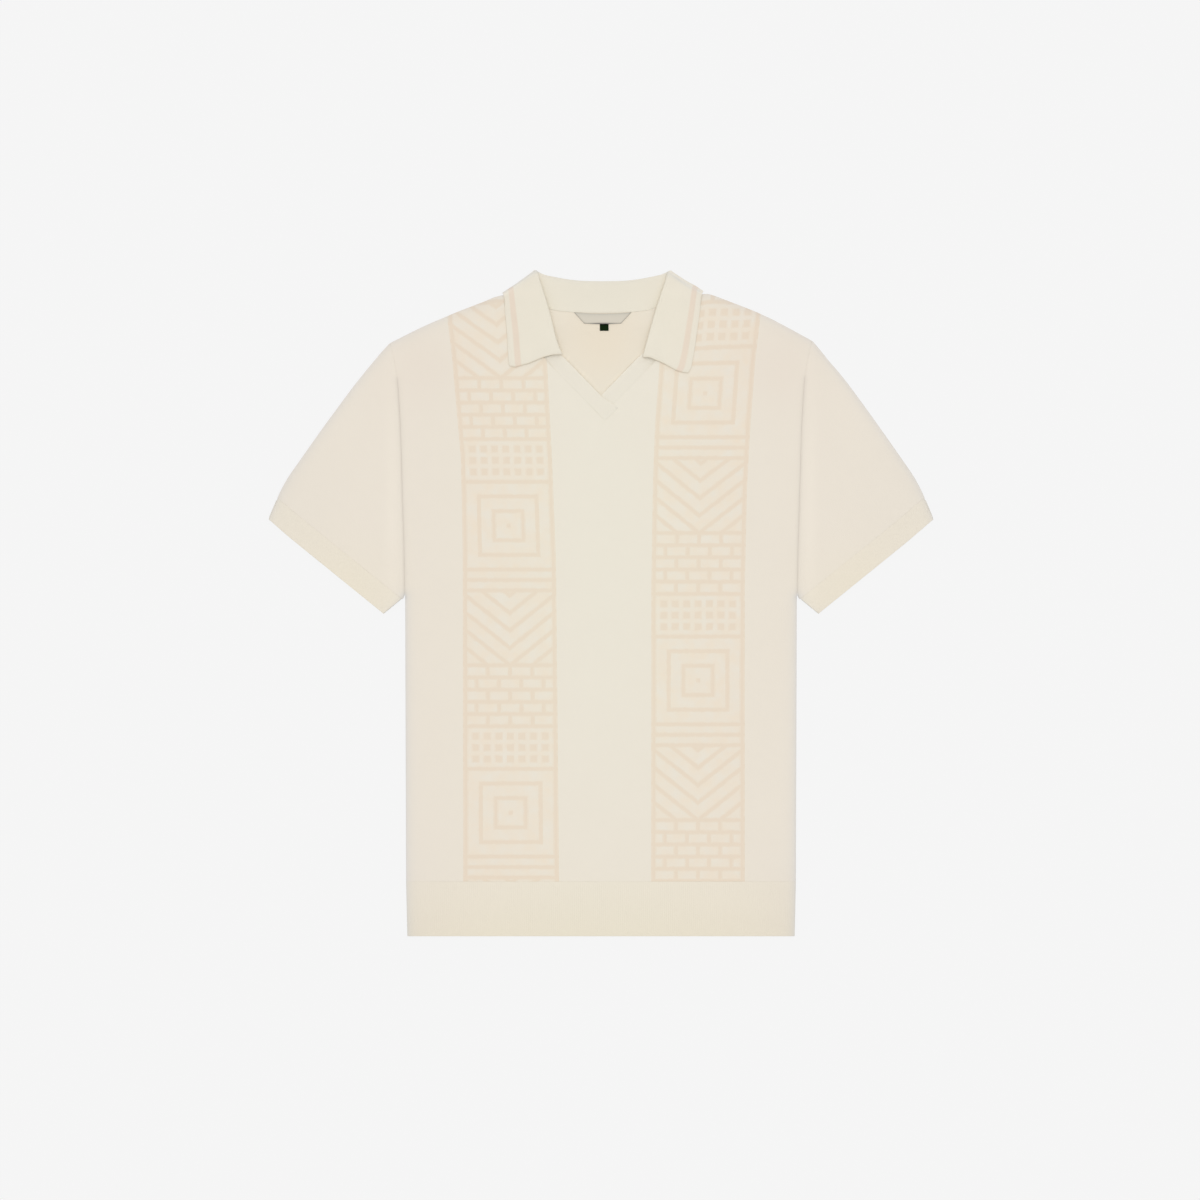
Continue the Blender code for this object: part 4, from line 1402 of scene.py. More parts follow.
@dataclass
class Body:
    """The front and back panels, from the hem band's seam to the shoulders and the neck."""

    lie: Lie
    side_rows: int = 80
    armhole_rows: int = 88
    ditch_ease: float = 2.0
    bent_share: float = 0.43
    half_width: float = 0.20
    column_step: float = 0.0038
    edge_columns: tuple[float, ...] = (0.0, 0.0024, 0.0036, 0.0052, 0.0074)
    front_counts: tuple[int, ...] = (52, 14, 5, 1, 4)
    neck_rows: int = 12
    trim_width: float = 0.0170
    trim_end_outer: Place = (0.0743, 0.2932)
    edge_drop: float = 0.0003
    edge_width: float = 0.0070
    ditch_drop: float = 0.0006
    ditch_width: float = 0.0060
    back_neck_rows: int = 30

    @property
    def low_y(self) -> float:
        """Where the panels' lower edges are."""
        return self.lie.cut.band_seam_y + self.lie.cut.seam_gap / 2

    def outer_line(self) -> Array:
        """The side seam and the armhole.

        Returns:
            The points of that line, from the hem band up.
        """
        cut = self.lie.cut
        low = (float(cut.side_x(self.low_y)), self.low_y)
        seam = stretches([low, cut.underarm], [self.side_rows])
        armhole = through(cut.armhole, evenly(self.armhole_rows))
        return np.vstack([seam, armhole[1:] - (cut.seam_gap / 2, 0.0)])

    def half(self, inner: Array, height: Height, opening: Array, down: float) -> Array:
        """A lattice over half a panel, between its inner line and the side seam and armhole.

        Args:
            inner: The inner line, with as many points as the outer one.
            height: The height of the panel's middle.
            opening: For each row, 1 where the inner line is an edge and 0 where the halves join.
            down: 1 if the panel turns down at its seams, -1 if it turns up.

        Returns:
            The lattice, with its edges shaped.
        """
        cut = self.lie.cut
        columns = spaced(self.half_width, self.column_step, self.edge_columns)[:, None]
        straight = [cut.shoulder[0], cut.shoulder[-1]]
        bent = through(cut.shoulder, columns[:, 0]) - through(straight, columns[:, 0])
        row = np.arange(len(inner))
        bent_rows = self.bent_share * self.armhole_rows
        bend = smooth((row - (len(inner) - 1 - bent_rows)) / bent_rows)
        lines = zip(inner, self.outer_line(), bend)
        places = np.stack([a + columns * (b - a) + share * bent for a, b, share in lines])
        data = lattice(places, height(places[..., 0], places[..., 1]), places, cut.wall)
        at_side = reach(data, 1, True)
        on_armhole = smooth((row - self.side_rows) / self.ditch_ease)
        side = dip(at_side, self.edge_drop, self.edge_width)
        ditch = dip(at_side, self.ditch_drop, self.ditch_width) * self.lie.ditch(places[:, -1:, 1])
        data[..., RELIEF] = side + on_armhole[:, None] * (ditch - side)
        data[..., RELIEF] += dip(reach(data, 0, True), self.edge_drop, self.edge_width)
        joined = SEWN * (1, 0, 0) + (0, 1, 0)
        data = edged(data, 1, True, between(self.lie.seamed(), SEWN, on_armhole), down)
        data = edged(data, 1, False, between(joined, SEWN, opening))
        return edged(edged(data, 0, True, self.lie.seamed(), down), 0, False, SEWN)

    def panel(
        self, neck: Array, corners: Sequence[Place], counts: Sequence[int], height: Height, down: float
    ) -> Sheet:
        """A panel, both of its halves joined.

        Args:
            neck: The neck edge, from the middle or the V out.
            corners: The corners of the inner line, from where the panel's middle is cut to the neck.
            counts: How many rows each stretch between those corners has.
            height: The height of the panel's middle.
            down: 1 if the panel turns down at its seams, -1 if it turns up.

        Returns:
            The sheet.
        """
        middle = [(0.0, self.low_y), (0.0, self.lie.cut.underarm[1])]
        line = stretches([*middle, *corners, neck[0]], (self.side_rows, *counts))
        inner = np.vstack([line, neck[1:]])
        opening = (np.arange(len(inner)) >= self.side_rows + counts[0]).astype(float)
        return Sheet.of(self.half(inner, height, opening, down)).with_mirror()

    def front(self) -> bpy.types.Object:
        """Makes the front, with a notch for the V's trims.

        Returns:
            The piece.
        """
        cut = self.lie.cut
        run = cut.v_run()
        across = self.trim_width + cut.seam_gap
        notch = (0.0, cut.v_point[1] - across / run[0])
        knee = np.array(cut.v_top) + across * np.array([run[1], -run[0]])
        end = np.array(self.trim_end_outer)
        corners = [notch, knee, end + (cut.seam_gap, 0.0), end + (0.0, cut.seam_gap)]
        neck = through(cut.front_neck, evenly(self.neck_rows)) + (cut.seam_gap / 2, 0.0)
        sheet = self.panel(neck, corners, self.front_counts, self.lie.front, 1.0)
        return sheet.facing(UP).piece("front_cloth", FRONT_TONE, band_map)

    def back(self) -> bpy.types.Object:
        """Makes the back, whose outer face is the one that lies on the floor.

        Returns:
            The piece.
        """
        cut = self.lie.cut
        at = evenly(self.back_neck_rows)
        neck = through(cut.back_neck, at) - (0.0, cut.seam_gap / 2)
        counts = (self.armhole_rows - self.back_neck_rows,)
        sheet = self.panel(neck, (), counts, self.lie.back, -1.0)
        return sheet.facing(DOWN).piece("back_cloth", BACK_TONE, inner_tint=INSIDE_TONE)

    def dressed(self) -> list[Dressed]:
        """Dresses the panels.

        Returns:
            The back and the front.
        """
        return [
            Dressed(self.back(), BODY_KNIT, "back_panel", "body_knit"),
            Dressed(self.front(), FRONT_KNIT, "front_panel", "front_knit", rests_on=("back_panel",)),
        ]


@dataclass
class HemBand:
    """The ribbed band round the hem, as one piece at the front and one at the back."""

    lie: Lie
    rib: float = 0.0024
    rib_height: float = 0.00012
    points_per_rib: int = 4
    rows: int = 14
    edge_drop: float = 0.0003
    edge_width: float = 0.0070
    side_ease: float = 0.0040
    seam_ease: float = 0.0030

    def piece(self, name: str, height: Height, up: int) -> bpy.types.Object:
        """One side of the band, ribbed on its outer face.

        Args:
            name: The piece's name.
            height: The height of its middle.
            up: 1 if its outer face looks up, -1 if it looks down.

        Returns:
            The piece.
        """
        cut = self.lie.cut
        ribs = round(2 * cut.hem_half / self.rib)
        shares = np.linspace(-1.0, 1.0, ribs * self.points_per_rib + 1)
        inner = shares[self.points_per_rib : -self.points_per_rib]
        shares = np.concatenate([[-1.0], inner, [1.0]])
        top = cut.band_seam_y - cut.seam_gap / 2
        y = np.linspace(cut.hem_y, top, self.rows + 1)[:, None]
        places = np.stack(np.broadcast_arrays(shares * cut.side_x(y), y), axis=-1)
        data = lattice(places, height(places[..., 0], places[..., 1]), places, cut.wall)
        side = np.minimum(reach(data, 1, True), reach(data, 1, False))
        ease = smooth(side / self.side_ease) * smooth(reach(data, 0, True) / self.seam_ease)
        data[..., RELIEF] = self.rib_height * np.cos(math.pi * ribs * shares) * ease
        data[..., RELIEF] += dip(side, self.edge_drop, self.edge_width)
        for end in (False, True):
            data = edged(data, 1, end, self.lie.seamed(), up)
        data = edged(edged(data, 0, True, SEWN), 0, False, FREE)
        return Sheet.of(data).facing((0, 0, up)).piece(name, FRONT_TONE)

    def dressed(self) -> list[Dressed]:
        """Dresses the band.

        Returns:
            Its back half and its front half.
        """
        back = self.piece("hem_back_cloth", self.lie.plain_back, -1)
        front = self.piece("hem_front_cloth", self.lie.front, 1)
        return [
            Dressed(back, RIB_KNIT, "hem_band_back", "rib_knit"),
            Dressed(front, RIB_KNIT, "hem_band_front", "rib_knit", rests_on=("hem_band_back",)),
        ]


@dataclass
class Sleeve:
    """One sleeve, pressed flat and folded along its upper edge, and the ribbed cuff on its end."""

    lie: Lie
    name: str
    sign: int
    cuff: float = 0.0270
    underarm_ease: float = 0.0004
    section_points: int = 56
    fold_steps: int = 10
    length: float = 0.17
    station_step: float = 0.0038
    near_seam: tuple[float, ...] = (0.0, 0.0010, 0.0022, 0.0036, 0.0055, 0.0080)
    ditch_drop: float = 0.0008
    ditch_width: float = 0.0030
    ridge_height: float = 0.0003
    ridge_place: float = 0.0060
    ridge_width: float = 0.0040
    cuff_points: int = 250
    cuff_rows: int = 8
    rib: float = 0.0024
    rib_height: float = 0.00012
    seam_ease: float = 0.0030

    def cut_back(self, line: Array, lower: Array, upper: Array, inset: float) -> Array:
        """Draws in a tube's end line, so that it clears both folds.

        Args:
            line: The end line, from the lower fold to the upper one.
            lower: The lower fold, from that end.
            upper: The upper fold, from that end.
            inset: How far the line's ends have to be from the folds.

        Returns:
            The line with its two end points moved along it.
        """
        line = np.array(line, float)
        for end, inward, fold in ((0, 1, lower), (-1, -2, upper)):
            run = unit(line[inward] - line[end])
            beside = unit(fold[1] - fold[0])
            line[end] += inset / abs(run[0] * beside[1] - run[1] * beside[0]) * run
        return line

    def fitted(self, line: Array, start: Array, end: Array) -> Array:
        """The line with its ends moved to these places, and the rest carried along in proportion."""
        share = np.linspace(0.0, 1.0, len(line))[:, None]
        return line + (1 - share) * (start - line[0]) + share * (end - line[-1])

    def tube(
        self, start: Array, end: Array, lower: Sequence[Place], upper: Sequence[Place], along: Array
    ) -> Array:
        """A lattice round a tube pressed flat.

        Args:
            start: The tube's end line at the body, from its lower fold to its upper one.
            end: Its other end line.
            lower: The lower fold.
            upper: The upper fold.
            along: Where the rows are, from 0 at the start to 1 at the end.

        Returns:
            The lattice, whose columns go once round the tube, first over its upper side.
        """
        cut = self.lie.cut
        inset = (cut.wall + self.lie.air_edge) / 2 + cut.wall / 2
        below, above = through(lower, along), through(upper, along)
        first = self.cut_back(start, below, above, inset)
        last = self.cut_back(end, below[::-1], above[::-1], inset)
        bottom = self.fitted(moved_left(below, inset), first[0], last[0])
        top = self.fitted(moved_left(above, -inset), first[-1], last[-1])
        shares = np.linspace(0.0, 1.0, len(first))[:, None]
        turns = np.linspace(0.0, math.pi, self.fold_steps + 1)[1:-1]
        top_run = unit(np.gradient(top, axis=0))
        rows = []
        for k, a in enumerate(along):
            section = (1 - a) * first + a * last
            section = section + (1 - shares) * (bottom[k] - section[0]) + shares * (top[k] - section[-1])
            under = unit((1 - a * a) * unit(first[0] - first[1]) + a * a * unit(last[0] - last[1]))
            inner_station = 0 < k < len(along) - 1
            over = np.array([-top_run[k, 1], top_run[k, 0]]) if inner_station else section[-1] - section[-2]
            high = self.lie.front(self.sign * section[:, 0], section[:, 1])
            low = self.lie.plain_back(section[:, 0], section[:, 1])
            ring = [np.column_stack([section, high])]
            ring.append(over_fold(section[-1], high[-1], low[-1], unit(over), turns))
            ring.append(np.column_stack([section, low])[::-1])
            ring.append(over_fold(section[0], high[0], low[0], under, turns)[::-1])
            rows.append(np.vstack(ring))
        points = np.stack(rows) * (self.sign, 1.0, 1.0)
        flat = self.flat_cut(np.stack(rows), unit(end[-1] - end[0]), len(first))
        return lattice(points[..., :2], points[..., 2], flat, cut.wall)

    def flat_cut(self, points: Array, across: Array, count: int) -> Array:
        """Places on a tube's flat cut: its upper side as it lies, and the lower one turned over beside it.

        Args:
            points: The points round the tube, first over its upper side.
            across: The direction across the tube.
            count: How many columns each side has.

        Returns:
            The places, with the middle of the upper side at 0 across.
        """
        u = points[..., :2] @ across
        v = points[..., :2] @ np.array([across[1], -across[0]])
        steps = np.diff(points, axis=1, prepend=points[:, :1])
        run = np.cumsum(np.linalg.norm(steps, axis=-1), axis=1)
        top, under = count - 1, count + self.fold_steps - 1
        bottom = under + count - 1
        at_fold = np.interp(v, v[:, top], u[:, top])
        turned_over = 2 * at_fold - u + (run[:, under] - run[:, top])[:, None]
        flat = np.stack([u - u[:, count // 2].mean(), v - v.min()], axis=-1)
        flat[:, under : bottom + 1, 0] += (turned_over - u)[:, under : bottom + 1]
        for start, stop in ((top, under), (bottom, len(run[0]))):
            past_fold = run[:, start:stop] - run[:, start, None]
            flat[:, start:stop, 0] = flat[:, start, 0, None] + past_fold
        return flat

    def around(self, data: Array) -> Array:
        """How far the flat cut runs once round the tube, for each row."""
        closing = np.linalg.norm(data[:, 0, XYZ] - data[:, -1, XYZ], axis=-1)
        return data[:, -1, FLAT.start] - data[:, 0, FLAT.start] + closing

    def finished(self, data: Array, name: str, last: Array) -> bpy.types.Object:
        """Makes a piece of a tube's lattice, whose first end is sewn.

        Args:
            data: The lattice.
            name: The piece's name.
            last: The rows beside its last end.

        Returns:
            The piece.
        """
        data = edged(edged(data, 0, False, SEWN), 0, True, last)
        centre = data[..., XYZ].mean(axis=1, keepdims=True)
        outward = (data[..., XYZ] - centre).reshape(-1, 3)
        return Sheet.of(data, self.around(data)).facing(outward).piece(name, FRONT_TONE)

    def seam_ends(self) -> tuple[Array, Array, Array]:
        """Finds the cuff's seam.

        Returns:
            Its lower end, its upper end, and half of its gap as a step along the sleeve.
        """
        cut = self.lie.cut
        bottom, before = np.array(cut.sleeve_bottom), np.array(cut.underarm)
        top, bend = np.array(cut.sleeve_fold[-1]), np.array(cut.sleeve_fold[-2])
        seam_bottom = bottom - self.cuff * unit(bottom - before)
        seam_top = top - self.cuff * unit(top - bend)
        return seam_bottom, seam_top, cut.seam_gap / 2 * unit(bottom - seam_bottom)

    def sleeve(self) -> bpy.types.Object:
        """Makes the sleeve, with a soft ridge beside the ditch of the armhole seam.

        Returns:
            The piece.
        """
        cut = self.lie.cut
        seam_bottom, seam_top, half_gap = self.seam_ends()
        shares = np.linspace(0.0, 1.0, self.section_points)
        body_edge = through(cut.armhole, shares) + (cut.seam_gap / 2, 0.0)
        body_edge[0, 0] += self.underarm_ease
        end = through([seam_bottom - half_gap, seam_top - half_gap], shares)
        along = 1.0 - spaced(self.length, self.station_step, self.near_seam)[::-1]
        upper = [tuple(body_edge[-1]), *cut.sleeve_fold[1:-1], tuple(seam_top - half_gap)]
        data = self.tube(body_edge, end, [body_edge[0], seam_bottom - half_gap], upper, along)
        away = reach(data, 0, False)
        ridge = self.ridge_height * np.exp(-(((away - self.ridge_place) / self.ridge_width) ** 2))
        is_front = np.arange(data.shape[1]) < self.section_points
        data[..., RELIEF] = dip(away, self.ditch_drop, self.ditch_width) * self.lie.ditch(data[..., 1])
        data[..., RELIEF] += np.where(is_front, ridge, 0.0)
        return self.finished(data, f"sleeve_{self.name}_cloth", SEWN)

    def cuff_band(self) -> bpy.types.Object:
        """Makes the cuff, ribbed along the sleeve.

        Returns:
            The piece.
        """
        cut = self.lie.cut
        seam_bottom, seam_top, half_gap = self.seam_ends()
        lower = [tuple(seam_bottom + half_gap), cut.sleeve_bottom]
        upper = [tuple(seam_top + half_gap), cut.sleeve_fold[-1]]
        shares = np.linspace(0.0, 1.0, self.cuff_points)
        start, end = (through(line, shares) for line in zip(lower, upper))
        data = self.tube(start, end, lower, upper, evenly(self.cuff_rows))
        around = self.around(data)[:, None]
        ribs = round(float(around.mean()) / self.rib)
        phase = data[..., FLAT.start] / around
        ease = smooth(reach(data, 0, False) / self.seam_ease)
        data[..., RELIEF] = self.rib_height * np.cos(2 * math.pi * ribs * phase) * ease
        return self.finished(data, f"cuff_{self.name}_cloth", FREE)

    def dressed(self) -> list[Dressed]:
        """Dresses the sleeve.

        Returns:
            The sleeve and its cuff.
        """
        return [
            Dressed(self.sleeve(), SLEEVE_KNIT, f"sleeve_{self.name}", "sleeve_knit"),
            Dressed(self.cuff_band(), RIB_KNIT, f"cuff_{self.name}", "rib_knit"),
        ]


@dataclass
class NeckTrims:
    """The two strips along the V's edges. The right one laps over the left one past the V's point."""

    lie: Lie
    body: Body
    trim_lap: float = 0.0240
    lap_start: float = 0.0003
    lap_sway: float = 0.0045
    lap_rise: float = 0.0004
    wall: float = 0.0011
    rise_length: float = 0.0070
    tuck: float = 0.0015
    tuck_share: float = 0.75
    bend_share: float = 0.35
    bend_inner: Place = (0.0496, 0.2892)
    end_inner: Place = (0.0590, 0.3017)
    step: float = 0.0022
    columns: int = 12
    sink: float = 0.00075
    edge_drop: float = 0.0002
    edge_width: float = 0.0030

    def line(self, s: float, across: float) -> Array:
        """A place on a trim: s up the V's edge from its point, across from the inner edge."""
        run = self.lie.cut.v_run()
        return np.array(self.lie.cut.v_point) + s * run + across * np.array([run[1], -run[0]])

    def sections(self, laps: bool) -> list[tuple[Array, Array, float]]:
        """The sections of a trim, from under the collar leaf down.

        Args:
            laps: True for the trim that lies over the other.

        Returns:
            The inner edge, the outer edge and the rise of each section.
        """
        cut = self.lie.cut
        width, end_outer = self.body.trim_width, np.array(self.body.trim_end_outer)
        top = np.array(cut.v_top)
        length = float(np.linalg.norm(top - cut.v_point))
        knee = self.line(length, width)
        level = self.tuck_share * length
        made = [
            (np.array(self.end_inner), end_outer, -self.tuck / 2),
            (np.array(self.bend_inner), knee + self.bend_share * (end_outer - knee), -self.tuck),
            (top, knee, -self.tuck),
            (self.line(level, 0.0), self.line(level, width), 0.0),
        ]
        if not laps:
            run = cut.v_run()
            end = -width / (2 * run[0] * run[1])
            notch = np.array([0.0, cut.v_point[1] - width / run[0]])
            made.append((self.line(self.rise_length, 0.0), self.line(self.rise_length, width), 0.0))
            made.append((self.line(0.0, 0.0), self.line(0.0, width), -self.sink))
            made.append((self.line(end, 0.0), notch, -self.sink))
            return made
        for s, sway, rise in (
            (self.rise_length, 0.0, 0.0),
            (self.lap_start, 0.0, self.lap_rise),
            (-self.trim_lap, -self.lap_sway, self.lap_rise),
        ):
            made.append((self.line(s, sway), self.line(s, width), rise))
        return made

    def trim(self, name: str, sign: int, laps: bool) -> bpy.types.Object:
        """One trim.

        Args:
            name: The piece's name.
            sign: -1 for the wearer's right, 1 for the left.
            laps: True for the trim that lies over the other.

        Returns:
            The piece.
        """
        sections = self.sections(laps)
        ends = np.array([[*inner, *outer, rise] for inner, outer, rise in sections])
        lengths = np.linalg.norm(np.diff(ends[:, :2], axis=0), axis=1)
        rows = stretches(ends, [max(2, round(length / self.step)) for length in lengths])
        at = evenly(self.columns)[:, None]
        places = np.stack([(1 - at) * row[:2] + at * row[2:4] for row in rows]) * (sign, 1.0)
        flush = (self.lie.cut.wall - self.wall) / 2
        height = self.lie.front(places[..., 0], places[..., 1]) + flush + rows[:, None, 4]
        flat = np.zeros_like(places)
        flat[..., 0] = np.linalg.norm(places - places[:, :1], axis=-1)
        flat[1:, :, 1] = np.cumsum(np.linalg.norm(np.diff(places, axis=0), axis=-1), axis=0)
        data = lattice(places, height, flat, self.wall)
        data[..., RELIEF] = dip(reach(data, 1, False), self.edge_drop, self.edge_width)
        data = edged(edged(data, 1, True, SEWN_STRIP), 1, False, FREE)
        data = edged(edged(data, 0, True, FREE), 0, False, FREE)
        return Sheet.of(data).facing(UP).piece(name, TRIM_TONE)

    def dressed(self) -> list[Dressed]:
        """Dresses the trims.

        Returns:
            The right one and the left one.
        """
        right = self.trim("trim_right_cloth", -1, True)
        left = self.trim("trim_left_cloth", 1, False)
        on_right, on_left = ("back_panel", "neck_trim_left"), ("back_panel",)
        return [
            Dressed(right, TRIM_KNIT, "neck_trim_right", "trim_knit", rests_on=on_right),
            Dressed(left, TRIM_KNIT, "neck_trim_left", "trim_knit", rests_on=on_left),
        ]


LEAVES = (
    Leaf(
        "right",
        -1,
        (0.0502, 0.2868),
        ((0.0443, 0.2866), (0.0474, 0.2935), (0.0591, 0.3361), (0.0735, 0.3821)),
        ((0.1054, 0.2727), (0.1062, 0.2800), (0.1077, 0.3050), (0.1101, 0.3326), (0.1114, 0.3500)),
        (0.0, -2.8, -2.3, -2.0, -0.6, 0.9, 1.6, 1.4, 0.0),
    ),
    Leaf(
        "left",
        1,
        (0.0534, 0.2844),
        ((0.0476, 0.2835), (0.0624, 0.3361), (0.0774, 0.3818)),
        (
            (0.0999, 0.2647), (0.1024, 0.2685), (0.1050, 0.2777), (0.1072, 0.2892),
            (0.1098, 0.3065), (0.1143, 0.3380), (0.1158, 0.3500),
        ),
        (0.0, -1.5, -1.8, -0.9, 0.4, 1.2, 1.6, 1.7, 0.0),
    ),
)


@dataclass
class Collar:
    """The collar: a stand up from the neck seam, a roll, and a fall that lies outside the shirt."""

    lie: Lie
    back_roll: tuple[Place, ...] = (
        (0.0, 0.3704), (0.0290, 0.3713), (0.0538, 0.3752), (0.0690, 0.3792), (0.0735, 0.3818),
    )
    leaf_length: float = 0.085
    leaf_depth: float = 0.045
    roll_radius: float = 0.0013
    roll_rise: float = 0.00065
    fold_past_edge: float = 0.0017
    hang_share: float = 0.25
    leaf_roll_turn: float = math.radians(164)
    shoulder_front_turn: float = math.radians(108)
    shoulder_back_turn: float = math.radians(88)
    back_middle_turn: float = math.radians(90)
    turn_starts: float = 0.7
    side_seam_turn: float = math.radians(18)
    side_fall_turn: float = math.radians(53)
    front_sections: int = 40
    shoulder_sections: int = 18
    back_sections: int = 26
    stand_steps: int = 12
    roll_steps: int = 8
    fall_steps: int = 24
    curl: float = 0.0001
    curl_reach: float = 0.030
    press_ease: float = 4.0
    thinning: float = 0.38
    thin_reach: float = 0.0060
    # Painted shadow line along the leaves' edges: the share it takes off red, green and blue, and how far it reaches
    edge_shade: tuple[float, float, float] = (0.17, 0.21, 0.28)
    edge_reach: float = 0.0005
    shaded_sections: int = 5

    def section(self, seam: Array, roll: Array, edge: Array, turn: float, level: Array) -> Array:
        """One section of the collar, from the neck seam over the roll to the fall's edge.

        Args:
            seam: The place in the neck seam.
            roll: The centre of the roll's half circle.
            edge: The place on the fall's edge.
            turn: The way in which the roll bulges.
            level: The way from the stand to the fall.

        Returns:
            The section's points.
        """
        bulge = np.array([*turned(turn), 0.0])
        stand_top, fall_top = roll - self.roll_radius * level, roll + self.roll_radius * level
        up = evenly(self.stand_steps)[:-1, None]
        angle = np.linspace(0.0, math.pi, self.roll_steps + 1)[:, None]
        down = evenly(self.fall_steps)[1:, None]
        return np.vstack(
            [
                seam + up * (stand_top - seam),
                roll + self.roll_radius * (-np.cos(angle) * level + np.sin(angle) * bulge),
                fall_top + down * (edge - fall_top),
            ]
        )

    def front_part(self, leaf: Leaf) -> list[Array]:
        """The sections on the front.

        Args:
            leaf: The leaf on that side.

        Returns:
            The sections from the leaf's end to the shoulder.
        """
        lie, cut = self.lie, self.lie.cut
        roll_reach = self.roll_radius + cut.collar_wall / 2
        turn_range = self.shoulder_front_turn - self.leaf_roll_turn
        at = np.linspace(0.0, 1.0, self.fall_steps)
        inward = np.linspace(1.0, 0.0, self.fall_steps + 1)
        made = []
        for f in evenly(self.front_sections):
            s = through([leaf.seam_end, *cut.front_neck], f)[0] - (cut.seam_gap, 0.0)
            e = through(leaf.edge, f)[0]
            share = float(smooth((f - self.turn_starts) / (1.0 - self.turn_starts)))
            turn = self.leaf_roll_turn + share * turn_range
            r = through(leaf.roll, f)[0] - roll_reach * turned(turn)
            seam_z = float(lie.front(leaf.sign * s[0], s[1]))
            seam = np.array([*s, seam_z])
            roll = np.array([*r, seam_z + self.roll_rise + self.roll_radius])
            edge = np.array([*e, float(lie.fall(leaf.sign * e[0], e[1]))])
            points = self.section(seam, roll, edge, turn, np.array(UP, float))
            fall = points[-self.fall_steps :]
            fall[:, 2] = np.maximum(fall[:, 2], lie.fall(leaf.sign * fall[:, 0], fall[:, 1]))
            from_corner = np.hypot(f * self.leaf_length, (1.0 - at) * self.leaf_depth)
            fall[:, 2] += self.curl * (1.0 - smooth(from_corner / self.curl_reach))
            hang = float(smooth(1.0 - f / self.hang_share)) * np.array(leaf.hang_mm) / MM
            knots = np.column_stack([np.linspace(0.0, 1.0, len(hang)), hang])
            points[-self.fall_steps - 1 :, 1] += through(knots, inward)[:, 1]
            made.append(points)
        return made

    def shoulder_part(self, leaf: Leaf, seam_xy: Array) -> list[Array]:
        """The sections in which the collar turns round the shoulder.

        Args:
            leaf: The leaf on that side.
            seam_xy: Where the neck seam meets the shoulder on the front.

        Returns:
            The sections from the front to the back.
        """
        lie, cut = self.lie, self.lie.cut
        seam_xy = seam_xy + (0.0, cut.seam_gap)
        edge_xy = np.array(leaf.edge[-1]) + (0.0, self.fold_past_edge)
        roll_reach = self.roll_radius + cut.collar_wall / 2
        roll_xy = through(leaf.roll, 1.0)[0] - roll_reach * turned(self.shoulder_front_turn)
        high = float(lie.front(leaf.sign * seam_xy[0], seam_xy[1]))
        low = float(lie.plain_back(*cut.neck_point))
        roll_high = high + self.roll_rise + self.roll_radius
        roll_low = low + self.roll_rise - self.roll_radius
        edge_high = float(lie.fall(leaf.sign * edge_xy[0], edge_xy[1]))
        part = np.arange(1, self.shoulder_sections) / self.shoulder_sections
        ways = self.shoulder_front_turn + part * (self.shoulder_back_turn - self.shoulder_front_turn)
        outs = np.array([turned(way - math.pi / 2) for way in ways])
        turns = math.pi * part
        seams = over_fold(seam_xy, high, low, turned(self.side_seam_turn), turns)
        rolls = over_fold(roll_xy, roll_high, roll_low, outs, turns)
        edges = over_fold(edge_xy, edge_high, cut.collar_wall / 2, turned(self.side_fall_turn), turns)
        levels = np.column_stack([np.sin(turns)[:, None] * outs, np.cos(turns)])
        return [self.section(*values) for values in zip(seams, rolls, edges, ways, levels)]

    def back_part(self, leaf: Leaf) -> list[Array]:
        """The sections across the back.

        Args:
            leaf: The leaf on that side.

        Returns:
            The sections from the shoulder to the middle.
        """
        lie, cut = self.lie, self.lie.cut
        roll_reach = self.roll_radius + cut.collar_wall / 2
        shift = (LEAVES[1].roll[-1][0] - LEAVES[0].roll[-1][0]) / 2 * leaf.sign
        side_out = leaf.roll[-1][0]
        fold = np.array(leaf.edge[-1]) + (0.0, self.fold_past_edge)
        made = []
        for f in np.linspace(1.0, 0.0, self.back_sections + 1):
            s = through(cut.back_neck, f)[0] + (0.0, cut.seam_gap / 2)
            turn = self.back_middle_turn + (self.shoulder_back_turn - self.back_middle_turn) * f
            r = through(self.back_roll, f)[0]
            r[0] = f * side_out
            r = r - roll_reach * turned(turn)
            e_y = cut.back_fall_y + (fold[1] - cut.back_fall_y) * f**2
            seam_z = float(lie.plain_back(*s))
            seam = np.array([*s, seam_z])
            roll = np.array([r[0] + (1 - f) * shift, r[1], seam_z + self.roll_rise - self.roll_radius])
            edge = np.array([f * fold[0], e_y, cut.collar_wall / 2])
            made.append(self.section(seam, roll, edge, turn, np.array(DOWN, float)))
        return made

    def half(self, leaf: Leaf) -> list[Array]:
        """The sections of one half of the collar.

        Args:
            leaf: The leaf on that side.

        Returns:
            The sections from the leaf's end to the middle of the back.
        """
        front = self.front_part(leaf)
        made = front + self.shoulder_part(leaf, front[-1][0, :2]) + self.back_part(leaf)
        return [points * (leaf.sign, 1.0, 1.0) for points in made]

    def pressed(self, data: Array) -> Array:
        """Rounds the collar's edges, and thins and presses its falls there, where they lie on the front.

        Args:
            data: The collar's lattice.

        Returns:
            The lattice with its edges shaped.
        """
        row, column = (np.arange(count) for count in data.shape[:2])
        from_end = np.minimum(row, row[-1] - row)
        on_front = smooth((self.front_sections - from_end) / self.press_ease)
        on_fall = smooth((column - self.stand_steps - self.roll_steps) / self.press_ease)
        falls = np.outer(on_front, on_fall)
        at_end = np.minimum(reach(data, 0, False), reach(data, 0, True))
        at_edge = np.minimum(at_end, reach(data, 1, True))
        data[..., WALL] *= 1.0 - self.thinning * falls * (1.0 - smooth(at_edge / self.thin_reach))
        data = free_all_round(data)
        missing = self.lie.cut.collar_wall - data[..., WALL]
        data[..., 2] -= np.pad(falls, len(FREE) - 1, mode="edge") * missing / 2
        return data

